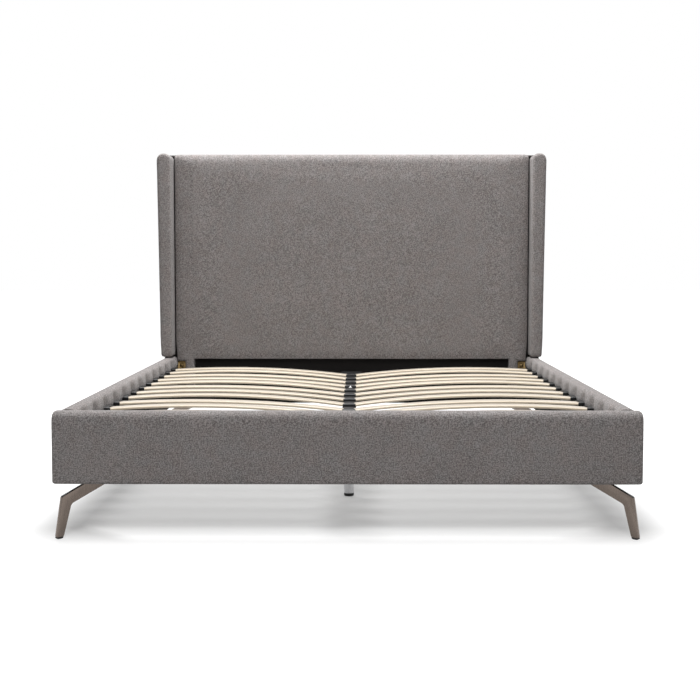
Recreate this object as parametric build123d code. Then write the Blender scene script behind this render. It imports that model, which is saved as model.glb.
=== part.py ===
from build123d import *
import math
import os

# An upholstered bed with a winged headboard, in millimetres. X runs to the right seen from the
# foot, Y from foot to head, Z up. The origin is on the floor, under the middle of the bed.

# Mattress and the play round it
mattress_width = 1530.0
mattress_length = 2030.0
mattress_side_play = 3.0
mattress_end_play = 2.0

# Upholstered base
underside_height = 157.0
rail_height = 206.0
rail_thickness = 51.0
board_thickness = 25.0
inner_padding = 3.0
edge_padding = 6.0
rail_crown = 2.0
rail_shoulder_radius = 22.0
rail_inner_radius = 9.0
rail_bottom_radius = 5.0

# Footboard
footboard_height = 204.0
footboard_thickness = 60.0
footboard_overhang = 6.0
footboard_crown = 3.0
footboard_side_crown = 4.0
footboard_top_radius = 20.0
footboard_back_radius = 12.0
footboard_bottom_radius = 7.0
footboard_end_radius = 14.0
footboard_end_padding = 14.0

# Headboard frame, its boards and the cloth behind it
headboard_height = 1240.0
headboard_frame_thickness = 45.0
face_board_thickness = 8.0
back_padding = 5.0
side_padding = 4.0
top_padding = 9.0
post_width = 125.0
cross_rail_height = 95.0
cross_rail_count = 3
headboard_back_chamfer = 8.0
headboard_top_radius = 24.0

# Headboard cushion and the recess below it
cushion_depth = 50.0
cushion_side_gap = 6.0
cushion_crown = 6.0
cushion_top_crown = 3.0
cushion_edge_radius = 38.0
cushion_back_radius = 4.0
cushion_corner_radius = 20.0
cushion_leg_width = 76.0
cushion_leg_reach = 119.0
cushion_leg_radius = 8.0
recess_drop = 9.0
recess_panel_thickness = 3.0
recess_panel_height = 150.0
panel_clearance = 0.5
notch_clearance = 3.0

# Wings
wing_depth = 130.0
wing_gap = 5.0
wing_inner_gap = 3.0
wing_flare = 12.0
wing_top_drop = 2.0
wing_front_radius = 19.0
wing_top_radius = 27.0
wing_board_thickness = 18.0
wing_board_inset = 13.0

# Sprung slats
slat_count = 12
slat_width = 63.0
slat_thickness = 8.0
slat_bow = 20.0
slat_foot_margin = 100.0
slat_head_margin = 128.0

# Moulded slat holders
holder_depth = 24.0
holder_height = 16.0
holder_floor = 3.0
holder_wall = 2.5
holder_cheek = 2.8
holder_chamfer = 2.0
pocket_clearance = 0.2
centre_holder_half = 22.0
tongue_length = 6.0
tongue_thickness = 5.0
tongue_width = 34.0
tongue_clearance = 0.2

# Ledges that carry the outer slat ends
ledge_drop = 56.0
ledge_width = 30.0
ledge_height = 30.0
ledge_thickness = 3.0
ledge_end_margin = 60.0
ledge_screw_count = 5

# Centre rail and its end brackets
centre_rail_drop = 23.0
centre_rail_width = 45.0
centre_rail_height = 60.0
centre_rail_wall = 2.0
centre_rail_end_gap = 0.5
saddle_thickness = 3.0
saddle_length = 40.0
saddle_plate_width = 90.0
saddle_plate_rise = 12.0

# Corner blocks and corner brackets
corner_block_leg = 170.0
corner_block_blunt = 25.0
corner_block_height = 45.0
bracket_thickness = 3.0
bracket_rail_leg = 60.0
bracket_end_leg = 40.0
bracket_height = 96.0
bracket_top_drop = 22.0
bolt_shank_flat = 8.0
bolt_length = 28.0
bolt_head_flat = 13.0
bolt_head_height = 5.3
bolt_edge_distance = 18.0

# Bent corner legs
leg_outset = 38.0
leg_plate_thickness = 12.0
leg_knee_setback = 5.0
leg_knee_share = 0.758
leg_arm_angle = 20.8
leg_splay_angle = 10.0
leg_width = 32.0
leg_foot_width = 21.5
leg_outer_radius = 7.0
leg_inner_radius = 16.0
flange_thickness = 5.0
flange_width = 64.0
flange_margin = 6.0
flange_corner = 8.0
flange_screw_inset = 13.0
glide_height = 8.0
glide_floor = 4.0
glide_margin = 1.2
glide_chamfer = 1.5

# Wood screws
screw_shank_flat = 5.0
screw_head_flat = 8.0
screw_head_height = 3.0
leg_screw_length = 32.0
ledge_screw_length = 20.0

# Centre legs with their levelling feet
centre_leg_radius = 16.0
centre_leg_wall = 2.0
centre_leg_front_share = 0.366
centre_leg_rear_share = 0.5
centre_leg_front_bay = 3
centre_leg_rear_bay = 7
centre_flange_thickness = 4.0
centre_flange_length = 84.0
stud_radius = 5.0
stud_clearance = 0.25
nut_flat = 17.0
nut_height = 8.0
stud_end = 3.0
dome_flat = 15.0
dome_rise = 7.0
dome_angle = 33.0
insert_height = 12.0
thread_radius = 5.0
thread_clearance = 0.06
pad_radius = 16.5
pad_height = 9.7
pad_floor = 2.0
pad_chamfer = 2.5
pad_gap = 0.3
socket_clearance = 0.1
levelling_head_flat = 14.0
levelling_head_height = 3.8
levelling_collar_height = 6.0
levelling_collar_room = 7.5
levelling_screw_length = 43.0

# Places that follow from the sizes above
inner_half = mattress_width / 2 + mattress_side_play
rail_outer = inner_half + rail_thickness
footboard_half = rail_outer + footboard_overhang
well_length = mattress_length + mattress_end_play
overall_length = (footboard_thickness + well_length + cushion_depth + face_board_thickness
                  + headboard_frame_thickness + back_padding)
foot_front = -overall_length / 2
foot_inner = foot_front + footboard_thickness
cushion_front = foot_inner + well_length
face_front = cushion_front + cushion_depth
frame_front = face_front + face_board_thickness
frame_back = frame_front + headboard_frame_thickness
head_back = frame_back + back_padding
rail_top = underside_height + rail_height
wing_bottom = rail_top + wing_gap
wing_inner = inner_half - wing_inner_gap
wing_outer_top = rail_outer + wing_flare
frame_half = rail_outer - side_padding
frame_top = headboard_height - top_padding
cushion_half = inner_half - cushion_side_gap
recess_half = cushion_half - cushion_leg_width
recess_top = rail_top - recess_drop
ledge_top = rail_top - ledge_drop
centre_rail_top = ledge_top - centre_rail_drop
centre_rail_bottom = centre_rail_top - centre_rail_height
centre_rail_half = centre_rail_width / 2
bracket_top = rail_top - bracket_top_drop
slat_pitch = (well_length - slat_foot_margin - slat_head_margin) / (slat_count - 1)
slat_half = slat_width / 2
holder_half = slat_half + pocket_clearance + holder_cheek
slat_outer_end = inner_half - holder_wall - pocket_clearance
slat_inner_end = holder_wall + pocket_clearance
slat_outer_level = ledge_top + holder_floor + pocket_clearance + slat_thickness / 2
slat_inner_level = centre_rail_top + holder_floor + pocket_clearance + slat_thickness / 2
leg_top = underside_height - flange_thickness
leg_knee_height = leg_knee_share * underside_height
centre_leg_bottom = pad_height + pad_gap
centre_leg_top = centre_rail_bottom - centre_flange_thickness
levelling_shoulder = pad_floor + socket_clearance + levelling_head_height + socket_clearance
levelling_head_radius = levelling_head_flat / math.sqrt(3)
corners = {
    "front_left": (-1, -1),
    "front_right": (1, -1),
    "rear_left": (-1, 1),
    "rear_right": (1, 1),
}


def span_x(face, low, high):
    """Extrudes an outline drawn in Y and Z along X."""
    return extrude(Plane((low, 0, 0), x_dir=(0, 1, 0), z_dir=(1, 0, 0)) * face, high - low)


def span_y(face, low, high):
    """Extrudes an outline drawn in X and Z along Y."""
    return extrude(Plane((0, high, 0), x_dir=(1, 0, 0), z_dir=(0, -1, 0)) * face, high - low)


def span_z(face, low, high):
    """Extrudes an outline drawn in X and Y along Z."""
    return extrude(Plane.XY.offset(low) * face, high - low)


def block(x_low, x_high, y_low, y_high, z_low, z_high):
    """A plain box between two corners."""
    size = (x_high - x_low, y_high - y_low, z_high - z_low)
    middle = ((x_low + x_high) / 2, (y_low + y_high) / 2, (z_low + z_high) / 2)
    return Pos(*middle) * Box(*size)


def rod(radius, x, y, low, high):
    """An upright cylinder."""
    return Pos(x, y, (low + high) / 2) * Cylinder(radius, high - low)


def flat_sided(across_flats, sides, x, y):
    """A regular outline with six or more sides."""
    return Pos(x, y) * RegularPolygon(across_flats / 2, sides, major_radius=False)


def sided_bar(across_flats, sides, x, y, low, high):
    """An upright bar with six or more flat sides."""
    return span_z(flat_sided(across_flats, sides, x, y), low, high)


def hexagon_bar(across_flats, x, y, low, high):
    """An upright six-sided bar."""
    return sided_bar(across_flats, 6, x, y, low, high)


def soft_outline(points, radii, crowns):
    """A closed outline, counter-clockwise, whose sides bow out by crowns and whose corners round."""
    sides = []
    for start, end, crown in zip(points, points[1:] + points[:1], crowns):
        if not crown:
            sides.append(Line(start, end))
            continue
        run = (end[0] - start[0], end[1] - start[1])
        length = math.hypot(*run)
        middle = ((start[0] + end[0]) / 2 + crown * run[1] / length,
                  (start[1] + end[1]) / 2 - crown * run[0] / length)
        sides.append(ThreePointArc(start, middle, end))
    face = make_face(sides)
    for point, radius in zip(points, radii):
        if radius:
            face = fillet(face.vertices().sort_by_distance(Vector(*point))[0], radius)
    return face


def rectangle(x_low, x_high, y_low, y_high):
    """Four corners of a rectangle, counter-clockwise from the low corner."""
    return [(x_low, y_low), (x_high, y_low), (x_high, y_high), (x_low, y_high)]


def mirrored(piece):
    """The same piece on the other side of the bed."""
    return mirror(piece, about=Plane.YZ)


def touches(piece, other):
    """Whether the boxes round two pieces meet."""
    one, two = piece.bounding_box(), other.bounding_box()
    return all(low < high for low, high in zip(one.min, two.max)) and all(
        low < high for low, high in zip(two.min, one.max))


def drilled(piece, fasteners):
    """Cuts the holes for the fasteners that pass through a piece."""
    for fastener in fasteners:
        if touches(piece, fastener):
            piece = piece - fastener
    return piece


def corner_place(side, end):
    """The inner corner where a side rail meets an end of the bed."""
    return side * inner_half, foot_inner if end < 0 else face_front


def diagonal_plane(side, end):
    """A plane at a leg's knee, on the floor, with its x pointing out of the bed's corner."""
    x, y = corner_place(side, end)
    return Plane((x + side * leg_outset, y + end * leg_outset, 0),
                 x_dir=(side, end, 0), z_dir=(0, 0, 1))


# Fasteners
def wood_screw(length):
    """A hexagon-head screw that drives along +Z from a seat at zero; its shank has six flats."""
    head = hexagon_bar(screw_head_flat, 0, 0, -screw_head_height, 0)
    return head + hexagon_bar(screw_shank_flat, 0, 0, 0, length)


def hex_bolt():
    """A hexagon bolt that drives along +Z from a seat at zero; its shank has six flats."""
    head = hexagon_bar(bolt_head_flat, 0, 0, -bolt_head_height, 0)
    return head + hexagon_bar(bolt_shank_flat, 0, 0, 0, bolt_length)


def bracket_bolts(side, end):
    """Two bolts in each leg of a corner bracket."""
    x, y = corner_place(side, end)
    rail_y = y - end * (bracket_rail_leg - bolt_edge_distance)
    end_x = x - side * (bracket_end_leg - bolt_edge_distance)
    bolts = []
    for level in (bracket_top - bolt_edge_distance, bracket_top - bracket_height + bolt_edge_distance):
        into_rail = Plane((x - side * bracket_thickness, rail_y, level), z_dir=(side, 0, 0))
        into_end = Plane((end_x, y - end * bracket_thickness, level), z_dir=(0, end, 0))
        bolts += [into_rail * hex_bolt(), into_end * hex_bolt()]
    return bolts


def leg_flange_span():
    """Near and far end of a leg's flange, measured along the diagonal from the knee."""
    slope = math.tan(math.radians(leg_arm_angle))
    near = -leg_knee_setback - (leg_top - leg_knee_height) / slope
    far = near - leg_width / math.sin(math.radians(leg_arm_angle))
    return near + flange_margin, far - flange_margin


def leg_screws(side, end):
    """Four screws up through a leg's flange into the corner block."""
    near, far = leg_flange_span()
    inset = flange_screw_inset
    across = flange_width / 2 - flange_screw_inset
    plane = diagonal_plane(side, end)
    return [plane * Pos(along, out, leg_top) * wood_screw(leg_screw_length)
            for along in (near - inset, far + inset) for out in (-across, across)]


def ledge_screws(side):
    """A row of screws that hold a ledge to its side rail."""
    low = foot_inner + ledge_end_margin
    high = cushion_front - ledge_end_margin
    step = (high - low) / ledge_screw_count
    level = ledge_top - ledge_height / 2 - ledge_thickness / 2
    x = side * (inner_half - ledge_thickness)
    return [Plane((x, low + (index + 1 / 2) * step, level), z_dir=(side, 0, 0))
            * wood_screw(ledge_screw_length) for index in range(ledge_screw_count)]


# Upholstered base
def side_rail_board():
    """Core board of the right-hand rail."""
    x = inner_half + inner_padding
    return block(x, x + board_thickness, foot_inner, face_front,
                 underside_height + edge_padding, rail_top - edge_padding)


def side_rail_cover():
    """Padded sleeve round the board of the right-hand rail."""
    points = rectangle(inner_half, rail_outer - rail_crown, underside_height, rail_top)
    radii = (rail_bottom_radius, rail_bottom_radius, rail_shoulder_radius, rail_inner_radius)
    outline = soft_outline(points, radii, (0, rail_crown, 0, 0))
    return span_y(outline, foot_inner, face_front) - side_rail_board()


def footboard_board():
    """Core board of the footboard."""
    back = foot_inner - inner_padding
    half = footboard_half - footboard_end_padding
    return block(-half, half, back - board_thickness, back,
                 underside_height + edge_padding, underside_height + footboard_height - edge_padding)


def footboard_cover():
    """Padded footboard, crowned in front and at its ends."""
    top = underside_height + footboard_height
    end = footboard_half - footboard_side_crown
    across = soft_outline(rectangle(foot_front + footboard_crown, foot_inner, underside_height, top),
                          (footboard_bottom_radius, 0, footboard_back_radius, footboard_top_radius),
                          (0, 0, 0, footboard_crown))
    front = soft_outline(rectangle(-end, end, underside_height, top),
                         [footboard_bottom_radius] * 2 + [footboard_end_radius] * 2,
                         (0, footboard_side_crown, 0, footboard_side_crown))
    plan = soft_outline(rectangle(-footboard_half, footboard_half, foot_front, foot_inner),
                        [footboard_end_radius] * 2 + [footboard_bottom_radius] * 2, (0, 0, 0, 0))
    shape = span_x(across, -footboard_half, footboard_half)
    shape = shape & span_y(front, foot_front, foot_inner)
    shape = shape & span_z(plan, underside_height, top)
    return shape - footboard_board()


# Headboard
def headboard_posts():
    """Two upright timbers."""
    post = block(frame_half - post_width, frame_half, frame_front, frame_back,
                 underside_height, frame_top)
    return [mirrored(post), post]


def headboard_cross_rails():
    """Timbers between the posts, the lowest behind the top of the recess."""
    half = frame_half - post_width
    lowest = recess_top - cross_rail_height / 2
    step = (frame_top - cross_rail_height - lowest) / (cross_rail_count - 1)
    return [block(-half, half, frame_front, frame_back, lowest + index * step,
                  lowest + index * step + cross_rail_height) for index in range(cross_rail_count)]


def headboard_face_board():
    """Thin board across the front of the headboard frame."""
    return block(-frame_half, frame_half, face_front, frame_front, underside_height, frame_top)


def headboard_outer_cover():
    """Cloth tray that wraps the back, the sides and the top of the headboard."""
    points = [(-rail_outer, underside_height), (rail_outer, underside_height),
              (rail_outer, wing_bottom), (wing_outer_top, headboard_height - wing_top_drop),
              (-wing_outer_top, headboard_height - wing_top_drop), (-rail_outer, wing_bottom)]
    radii = (0, 0, 0, headboard_top_radius, headboard_top_radius, 0)
    shape = span_y(soft_outline(points, radii, (0,) * len(points)), face_front, head_back)
    rim = shape.faces().sort_by(Axis.Y)[-1].edges().filter_by(
        lambda edge: edge.center().Z > underside_height + headboard_back_chamfer)
    shape = chamfer(rim, headboard_back_chamfer)
    return shape - block(-frame_half, frame_half, face_front, frame_back, underside_height, frame_top)


def headboard_recess_panel():
    """Black lining panel under the cushion."""
    half = recess_half - panel_clearance
    top = recess_top - panel_clearance
    outline = soft_outline(rectangle(-half, half, top - recess_panel_height, top),
                           (0, 0, cushion_leg_radius, cushion_leg_radius), (0, 0, 0, 0))
    return span_y(outline, face_front - recess_panel_thickness, face_front)


def headboard_cushion():
    """Padded front of the headboard: an inverted U with a crowned face and rounded edges."""
    shoulder = cushion_front + cushion_crown
    crest = headboard_height - cushion_top_crown
    bottom = recess_top - cushion_leg_reach
    plan = soft_outline(rectangle(-cushion_half, cushion_half, shoulder, face_front),
                        [cushion_edge_radius] * 2 + [cushion_back_radius] * 2, (cushion_crown, 0, 0, 0))
    across = soft_outline(rectangle(shoulder, face_front, bottom, headboard_height),
                          (cushion_back_radius, 0, cushion_back_radius, cushion_edge_radius),
                          (0, 0, 0, cushion_crown))
    front = soft_outline(rectangle(-cushion_half, cushion_half, bottom, crest),
                         (0, 0, cushion_corner_radius, cushion_corner_radius),
                         (0, 0, cushion_top_crown, 0))
    recess = soft_outline(rectangle(-recess_half, recess_half, underside_height, recess_top),
                          (0, 0, cushion_leg_radius, cushion_leg_radius), (0, 0, 0, 0))
    shape = span_y(front, cushion_front, face_front)
    shape = shape & span_z(plan, bottom, headboard_height)
    shape = shape & span_x(across, -cushion_half, cushion_half)
    shape = shape - span_y(recess, cushion_front, face_front)
    notch_low = inner_half - bracket_end_leg - notch_clearance
    notch_top = bracket_top + notch_clearance
    notch = block(notch_low, inner_half, cushion_front, face_front, bottom, notch_top)
    return shape - notch - mirrored(notch)


def wing_board():
    """Core board of the right-hand wing."""
    x = wing_inner + wing_board_inset
    top = headboard_height - wing_top_drop - wing_board_inset
    return block(x, x + wing_board_thickness, face_front - wing_depth + wing_board_inset, face_front,
                 wing_bottom + wing_board_inset / 2, top)


def wing_pad():
    """Padded right-hand wing, thicker at its domed top than at its foot."""
    top = headboard_height - wing_top_drop
    points = [(wing_inner, wing_bottom), (rail_outer, wing_bottom), (wing_outer_top, top), (wing_inner, top)]
    outline = soft_outline(points, (0, 0, wing_top_radius, wing_top_radius), (0, 0, 0, 0))
    shape = span_y(outline, face_front - wing_depth, face_front)
    rim = shape.faces().sort_by(Axis.Y)[0].edges().filter_by(
        lambda edge: edge.center().Z > wing_bottom + wing_front_radius)
    return fillet(rim, wing_front_radius) - wing_board()


# Sprung slats and what carries them
def slat_place(index):
    """Y of the middle of a slat, counted from the foot."""
    return foot_inner + slat_foot_margin + index * slat_pitch


def slat(index, clearance):
    """A bowed right-hand slat, or with a clearance the space that its holders leave for it."""
    inner, outer = slat_inner_end - clearance, slat_outer_end + clearance
    half = slat_thickness / 2 + clearance
    middle = ((inner + outer) / 2, (slat_inner_level + slat_outer_level) / 2 + slat_bow)
    low_inner, low_outer = (inner, slat_inner_level - half), (outer, slat_outer_level - half)
    top_inner, top_outer = (inner, slat_inner_level + half), (outer, slat_outer_level + half)
    outline = make_face([
        ThreePointArc(low_inner, (middle[0], middle[1] - half), low_outer),
        Line(low_outer, top_outer),
        ThreePointArc(top_outer, (middle[0], middle[1] + half), top_inner),
        Line(top_inner, low_inner),
    ])
    y = slat_place(index)
    return span_y(outline, y - slat_half - clearance, y + slat_half + clearance)


def tongue(x, index, seat, clearance):
    """The tongue under a holder, or with a clearance the slot that takes it."""
    half_x, half_y = tongue_thickness / 2 + clearance, tongue_width / 2 + clearance
    y = slat_place(index)
    return block(x - half_x, x + half_x, y - half_y, y + half_y, seat - tongue_length, seat)


def holder_body(x_low, x_high, index, seat):
    """A holder's body with its upper edges eased, before its pockets are cut."""
    y = slat_place(index)
    body = block(x_low, x_high, y - holder_half, y + holder_half, seat, seat + holder_height)
    return chamfer(body.faces().sort_by(Axis.Z)[-1].edges(), holder_chamfer)


def side_slat_holder(index):
    """Moulded cap on the outer end of a right-hand slat."""
    body = holder_body(inner_half - holder_depth, inner_half, index, ledge_top)
    body = body - slat(index, pocket_clearance)
    return body + tongue(inner_half - holder_depth / 2, index, ledge_top, 0)


def centre_slat_holder(index):
    """Moulded double cap that joins two slats over the centre rail."""
    space = slat(index, pocket_clearance)
    body = holder_body(-centre_holder_half, centre_holder_half, index, centre_rail_top)
    return body - space - mirrored(space) + tongue(0, index, centre_rail_top, 0)


def slat_ledge():
    """Steel angle along the inside of the right-hand rail, slotted for the holders' tongues."""
    low, high = foot_inner + ledge_end_margin, cushion_front - ledge_end_margin
    shelf = block(inner_half - ledge_width, inner_half, low, high, ledge_top - ledge_thickness, ledge_top)
    upright = block(inner_half - ledge_thickness, inner_half, low, high,
                    ledge_top - ledge_height, ledge_top)
    ledge = shelf + upright
    for index in range(slat_count):
        ledge = ledge - tongue(inner_half - holder_depth / 2, index, ledge_top, tongue_clearance)
    return drilled(ledge, ledge_screws(1))


def centre_leg_places():
    """Y of the front and the rear centre leg, each in a gap between two slats."""
    front = slat_place(centre_leg_front_bay) + centre_leg_front_share * slat_pitch
    rear = slat_place(centre_leg_rear_bay) + centre_leg_rear_share * slat_pitch
    return front, rear


def centre_rail():
    """Steel box section down the middle, slotted for tongues and drilled for the legs' studs."""
    low = foot_inner + saddle_thickness + centre_rail_end_gap
    high = face_front - recess_panel_thickness - saddle_thickness - centre_rail_end_gap
    inside = centre_rail_half - centre_rail_wall
    rail = block(-centre_rail_half, centre_rail_half, low, high, centre_rail_bottom, centre_rail_top)
    rail = rail - block(-inside, inside, low, high,
                        centre_rail_bottom + centre_rail_wall, centre_rail_top - centre_rail_wall)
    for index in range(slat_count):
        rail = rail - tongue(0, index, centre_rail_top, tongue_clearance)
    for y in centre_leg_places():
        rail = rail - sided_bar(2 * (stud_radius + stud_clearance), 8, 0, y, centre_rail_bottom,
                                centre_rail_top)
    return rail


def centre_rail_bracket(seat, inward):
    """Hanger that holds one end of the centre rail, screwed to the board behind it."""
    plate_low = centre_rail_bottom - saddle_thickness
    plate_top = centre_rail_top + saddle_plate_rise
    half = saddle_plate_width / 2
    reach = seat + inward * saddle_thickness
    front = seat + inward * saddle_length
    outside = centre_rail_half + saddle_thickness
    plate = block(-half, half, min(seat, reach), max(seat, reach), plate_low, plate_top)
    channel = block(-outside, outside, min(reach, front), max(reach, front), plate_low, centre_rail_top)
    channel = channel - block(-centre_rail_half, centre_rail_half, min(reach, front), max(reach, front),
                              centre_rail_bottom, centre_rail_top)
    return plate + channel


# Corners and corner legs
def corner_block(side, end):
    """Timber block glued into a corner of the frame, above the leg."""
    x, y = corner_place(side, end)
    reaches = [(0, 0), (corner_block_leg, 0), (corner_block_leg, corner_block_blunt),
               (corner_block_blunt, corner_block_leg), (0, corner_block_leg)]
    outline = make_face(Polyline(*[(x - side * along, y - end * up) for along, up in reaches], close=True))
    shape = extrude(Plane.XY.offset(underside_height) * outline, corner_block_height, dir=(0, 0, 1))
    return drilled(shape, leg_screws(side, end))


def corner_bracket(side, end):
    """Steel angle that ties a side rail to an end of the bed."""
    x, y = corner_place(side, end)
    reaches = [(0, 0), (bracket_end_leg, 0), (bracket_end_leg, bracket_thickness),
               (bracket_thickness, bracket_thickness), (bracket_thickness, bracket_rail_leg),
               (0, bracket_rail_leg)]
    outline = make_face(Polyline(*[(x - side * along, y - end * up) for along, up in reaches], close=True))
    low = bracket_top - bracket_height
    shape = extrude(Plane.XY.offset(low) * outline, bracket_height, dir=(0, 0, 1))
    return drilled(shape, bracket_bolts(side, end))


def line_meet(one, one_angle, two, two_angle):
    """Where two lines meet, each given by a point and an angle in degrees."""
    ax, ay = math.cos(math.radians(one_angle)), math.sin(math.radians(one_angle))
    bx, by = math.cos(math.radians(two_angle)), math.sin(math.radians(two_angle))
    along = ((two[0] - one[0]) * by - (two[1] - one[1]) * bx) / (ax * by - ay * bx)
    return one[0] + along * ax, one[1] + along * ay


def leg_outline():
    """Bent and tapered leg in the plane of the diagonal: x out of the corner, y up."""
    arm, shin = 180 - leg_arm_angle, 270 + leg_splay_angle
    knee = (-leg_knee_setback, leg_knee_height)
    foot = line_meet(knee, shin, (0, glide_floor), 0)
    top_near = line_meet(knee, arm, (0, leg_top), 0)
    below_arm = (knee[0] + leg_width * math.cos(math.radians(arm + 90)),
                 knee[1] + leg_width * math.sin(math.radians(arm + 90)))
    behind_shin = (knee[0] + leg_width * math.cos(math.radians(shin - 90)),
                   knee[1] + leg_width * math.sin(math.radians(shin - 90)))
    inner_knee = line_meet(below_arm, arm, behind_shin, shin)
    top_far = line_meet(below_arm, arm, (0, leg_top), 0)
    foot_inside = (foot[0] - leg_foot_width, foot[1])
    return soft_outline([foot, knee, top_near, top_far, inner_knee, foot_inside],
                        (0, leg_outer_radius, 0, 0, leg_inner_radius, 0), (0,) * 6)


def corner_leg(side, end):
    """Plate leg with its screw flange, set on the diagonal of a corner."""
    half = leg_plate_thickness / 2
    near, far = leg_flange_span()
    flange_face = Pos((near + far) / 2, 0) * Rectangle(near - far, flange_width)
    flange_face = chamfer(flange_face.vertices(), flange_corner)
    flange = span_z(flange_face, leg_top, underside_height)
    shape = diagonal_plane(side, end) * (span_y(leg_outline(), -half, half) + flange)
    return drilled(shape, leg_screws(side, end))


def leg_glide(side, end):
    """Plastic shoe under a corner leg."""
    knee = (-leg_knee_setback, leg_knee_height)
    foot = line_meet(knee, 270 + leg_splay_angle, (0, glide_floor), 0)
    inner = foot[0] - leg_foot_width - glide_margin
    outer = foot[0] + glide_margin
    half = leg_plate_thickness / 2 + glide_margin
    shoe = block(inner, outer, -half, half, 0, glide_height)
    shoe = chamfer(shoe.faces().sort_by(Axis.Z)[0].edges(), glide_chamfer)
    return diagonal_plane(side, end) * shoe - corner_leg(side, end)


# Centre legs and levelling feet
def centre_leg(y):
    """Tube leg with its top flange, its stud and the threaded insert in its foot."""
    bore = 2 * (centre_leg_radius - centre_leg_wall)
    insert_low = centre_leg_bottom + levelling_collar_room
    insert_top = insert_low + insert_height
    tube = rod(centre_leg_radius, 0, y, centre_leg_bottom, centre_leg_top)
    tube = tube - sided_bar(bore, 12, 0, y, centre_leg_bottom, insert_low)
    tube = tube - sided_bar(bore, 12, 0, y, insert_top, centre_leg_top)
    tube = tube - sided_bar(2 * (thread_radius + thread_clearance), 12, 0, y, insert_low, insert_top)
    half = centre_flange_length / 2
    plate = block(-centre_rail_half, centre_rail_half, y - half, y + half,
                  centre_leg_top, centre_rail_bottom)
    stud_top = centre_rail_top + nut_height + stud_end
    return tube + plate + rod(stud_radius, 0, y, centre_rail_bottom, stud_top)


def centre_leg_nuts():
    """Plain nut on the front leg's stud and domed nut on the rear one's."""
    front, rear = centre_leg_places()
    plain = hexagon_bar(nut_flat, 0, front, centre_rail_top, centre_rail_top + nut_height)
    plain = plain - centre_leg(front)
    collar_top = centre_rail_top + nut_height
    outline = flat_sided(dome_flat, 12, 0, rear)
    neck = span_z(outline, collar_top, collar_top + stud_end)
    dome = extrude(Plane.XY.offset(collar_top + stud_end) * outline, dome_rise, taper=dome_angle)
    domed = hexagon_bar(nut_flat, 0, rear, centre_rail_top, collar_top) + neck + dome
    return [plain, domed - centre_leg(rear)]


def levelling_pad(y):
    """Plastic foot that holds the head of the levelling screw and doesn't turn with it."""
    pad = sided_bar(2 * pad_radius, 24, 0, y, 0, pad_height)
    pad = chamfer(pad.faces().sort_by(Axis.Z)[0].edges(), pad_chamfer)
    socket = 2 * (levelling_head_radius + socket_clearance)
    neck = 2 * (thread_radius + socket_clearance)
    pad = pad - sided_bar(socket, 8, 0, y, pad_floor, levelling_shoulder)
    return pad - sided_bar(neck, 8, 0, y, levelling_shoulder, pad_height)


def levelling_screw(y):
    """Screw with a head held in the foot and a hexagon to turn it by."""
    low = pad_floor + socket_clearance
    screw = hexagon_bar(levelling_head_flat, 0, y, low, low + levelling_head_height)
    screw = screw + rod(thread_radius, 0, y, low, low + levelling_screw_length)
    return screw + hexagon_bar(nut_flat, 0, y, centre_leg_bottom,
                               centre_leg_bottom + levelling_collar_height)


def fastener_groups():
    """Every bolt and screw, by node."""
    places = corners.values()
    return {
        "bracket_bolts": [bolt for place in places for bolt in bracket_bolts(*place)],
        "leg_screws": [screw for place in places for screw in leg_screws(*place)],
        "ledge_screws": ledge_screws(-1) + ledge_screws(1),
    }


def build_nodes():
    """Every node of the bed by name, each a solid or a list of solids."""
    nodes = fastener_groups()
    fixings = nodes["bracket_bolts"] + nodes["ledge_screws"]
    pairs = {
        "side_rail_board": side_rail_board(),
        "side_rail_cover": side_rail_cover(),
        "wing_board": wing_board(),
        "wing_pad": wing_pad(),
    }
    for name, piece in pairs.items():
        nodes[name + "_left"] = drilled(mirrored(piece), fixings)
        nodes[name + "_right"] = drilled(piece, fixings)
    nodes["footboard_board"] = drilled(footboard_board(), fixings)
    nodes["footboard_cover"] = drilled(footboard_cover(), fixings)
    nodes["headboard_posts"] = [drilled(post, fixings) for post in headboard_posts()]
    nodes["headboard_cross_rails"] = headboard_cross_rails()
    nodes["headboard_face_board"] = drilled(headboard_face_board(), fixings)
    nodes["headboard_outer_cover"] = headboard_outer_cover()
    nodes["headboard_recess_panel"] = headboard_recess_panel()
    nodes["headboard_cushion"] = headboard_cushion()

    ledge = slat_ledge()
    nodes["slat_ledges"] = [mirrored(ledge), ledge]
    nodes["centre_rail"] = centre_rail()
    nodes["centre_rail_brackets"] = [centre_rail_bracket(foot_inner, 1),
                                     centre_rail_bracket(face_front - recess_panel_thickness, -1)]
    nodes["side_slat_holders"] = []
    nodes["centre_slat_holders"] = []
    for index in range(slat_count):
        holder, piece = side_slat_holder(index), slat(index, 0)
        nodes["side_slat_holders"] += [mirrored(holder), holder]
        nodes["centre_slat_holders"].append(centre_slat_holder(index))
        nodes[f"slat_left_{index + 1:02d}"] = mirrored(piece)
        nodes[f"slat_right_{index + 1:02d}"] = piece

    nodes["corner_blocks"] = [corner_block(*place) for place in corners.values()]
    nodes["corner_brackets"] = [corner_bracket(*place) for place in corners.values()]
    nodes["leg_glides"] = [leg_glide(*place) for place in corners.values()]
    for end in ("front", "rear"):
        nodes[f"corner_legs_{end}"] = [corner_leg(*corners[f"{end}_{side}"]) for side in ("left", "right")]
    for name, y in zip(("front", "rear"), centre_leg_places()):
        nodes[f"centre_leg_{name}"] = centre_leg(y)
        nodes[f"levelling_pad_{name}"] = levelling_pad(y)
        nodes[f"levelling_screw_{name}"] = levelling_screw(y)
    nodes["centre_leg_nuts"] = centre_leg_nuts()
    return nodes


def solids_of(piece):
    """The plain solids in a piece or in a list of pieces."""
    pieces = piece if isinstance(piece, list) else [piece]
    return [solid for one in pieces for solid in one.solids()]


os.makedirs("parts", exist_ok=True)
for node, piece in build_nodes().items():
    solids = solids_of(piece)
    shape = solids[0] if len(solids) == 1 else Compound(children=solids)
    export_step(shape, f"parts/{node}.step")
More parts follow.
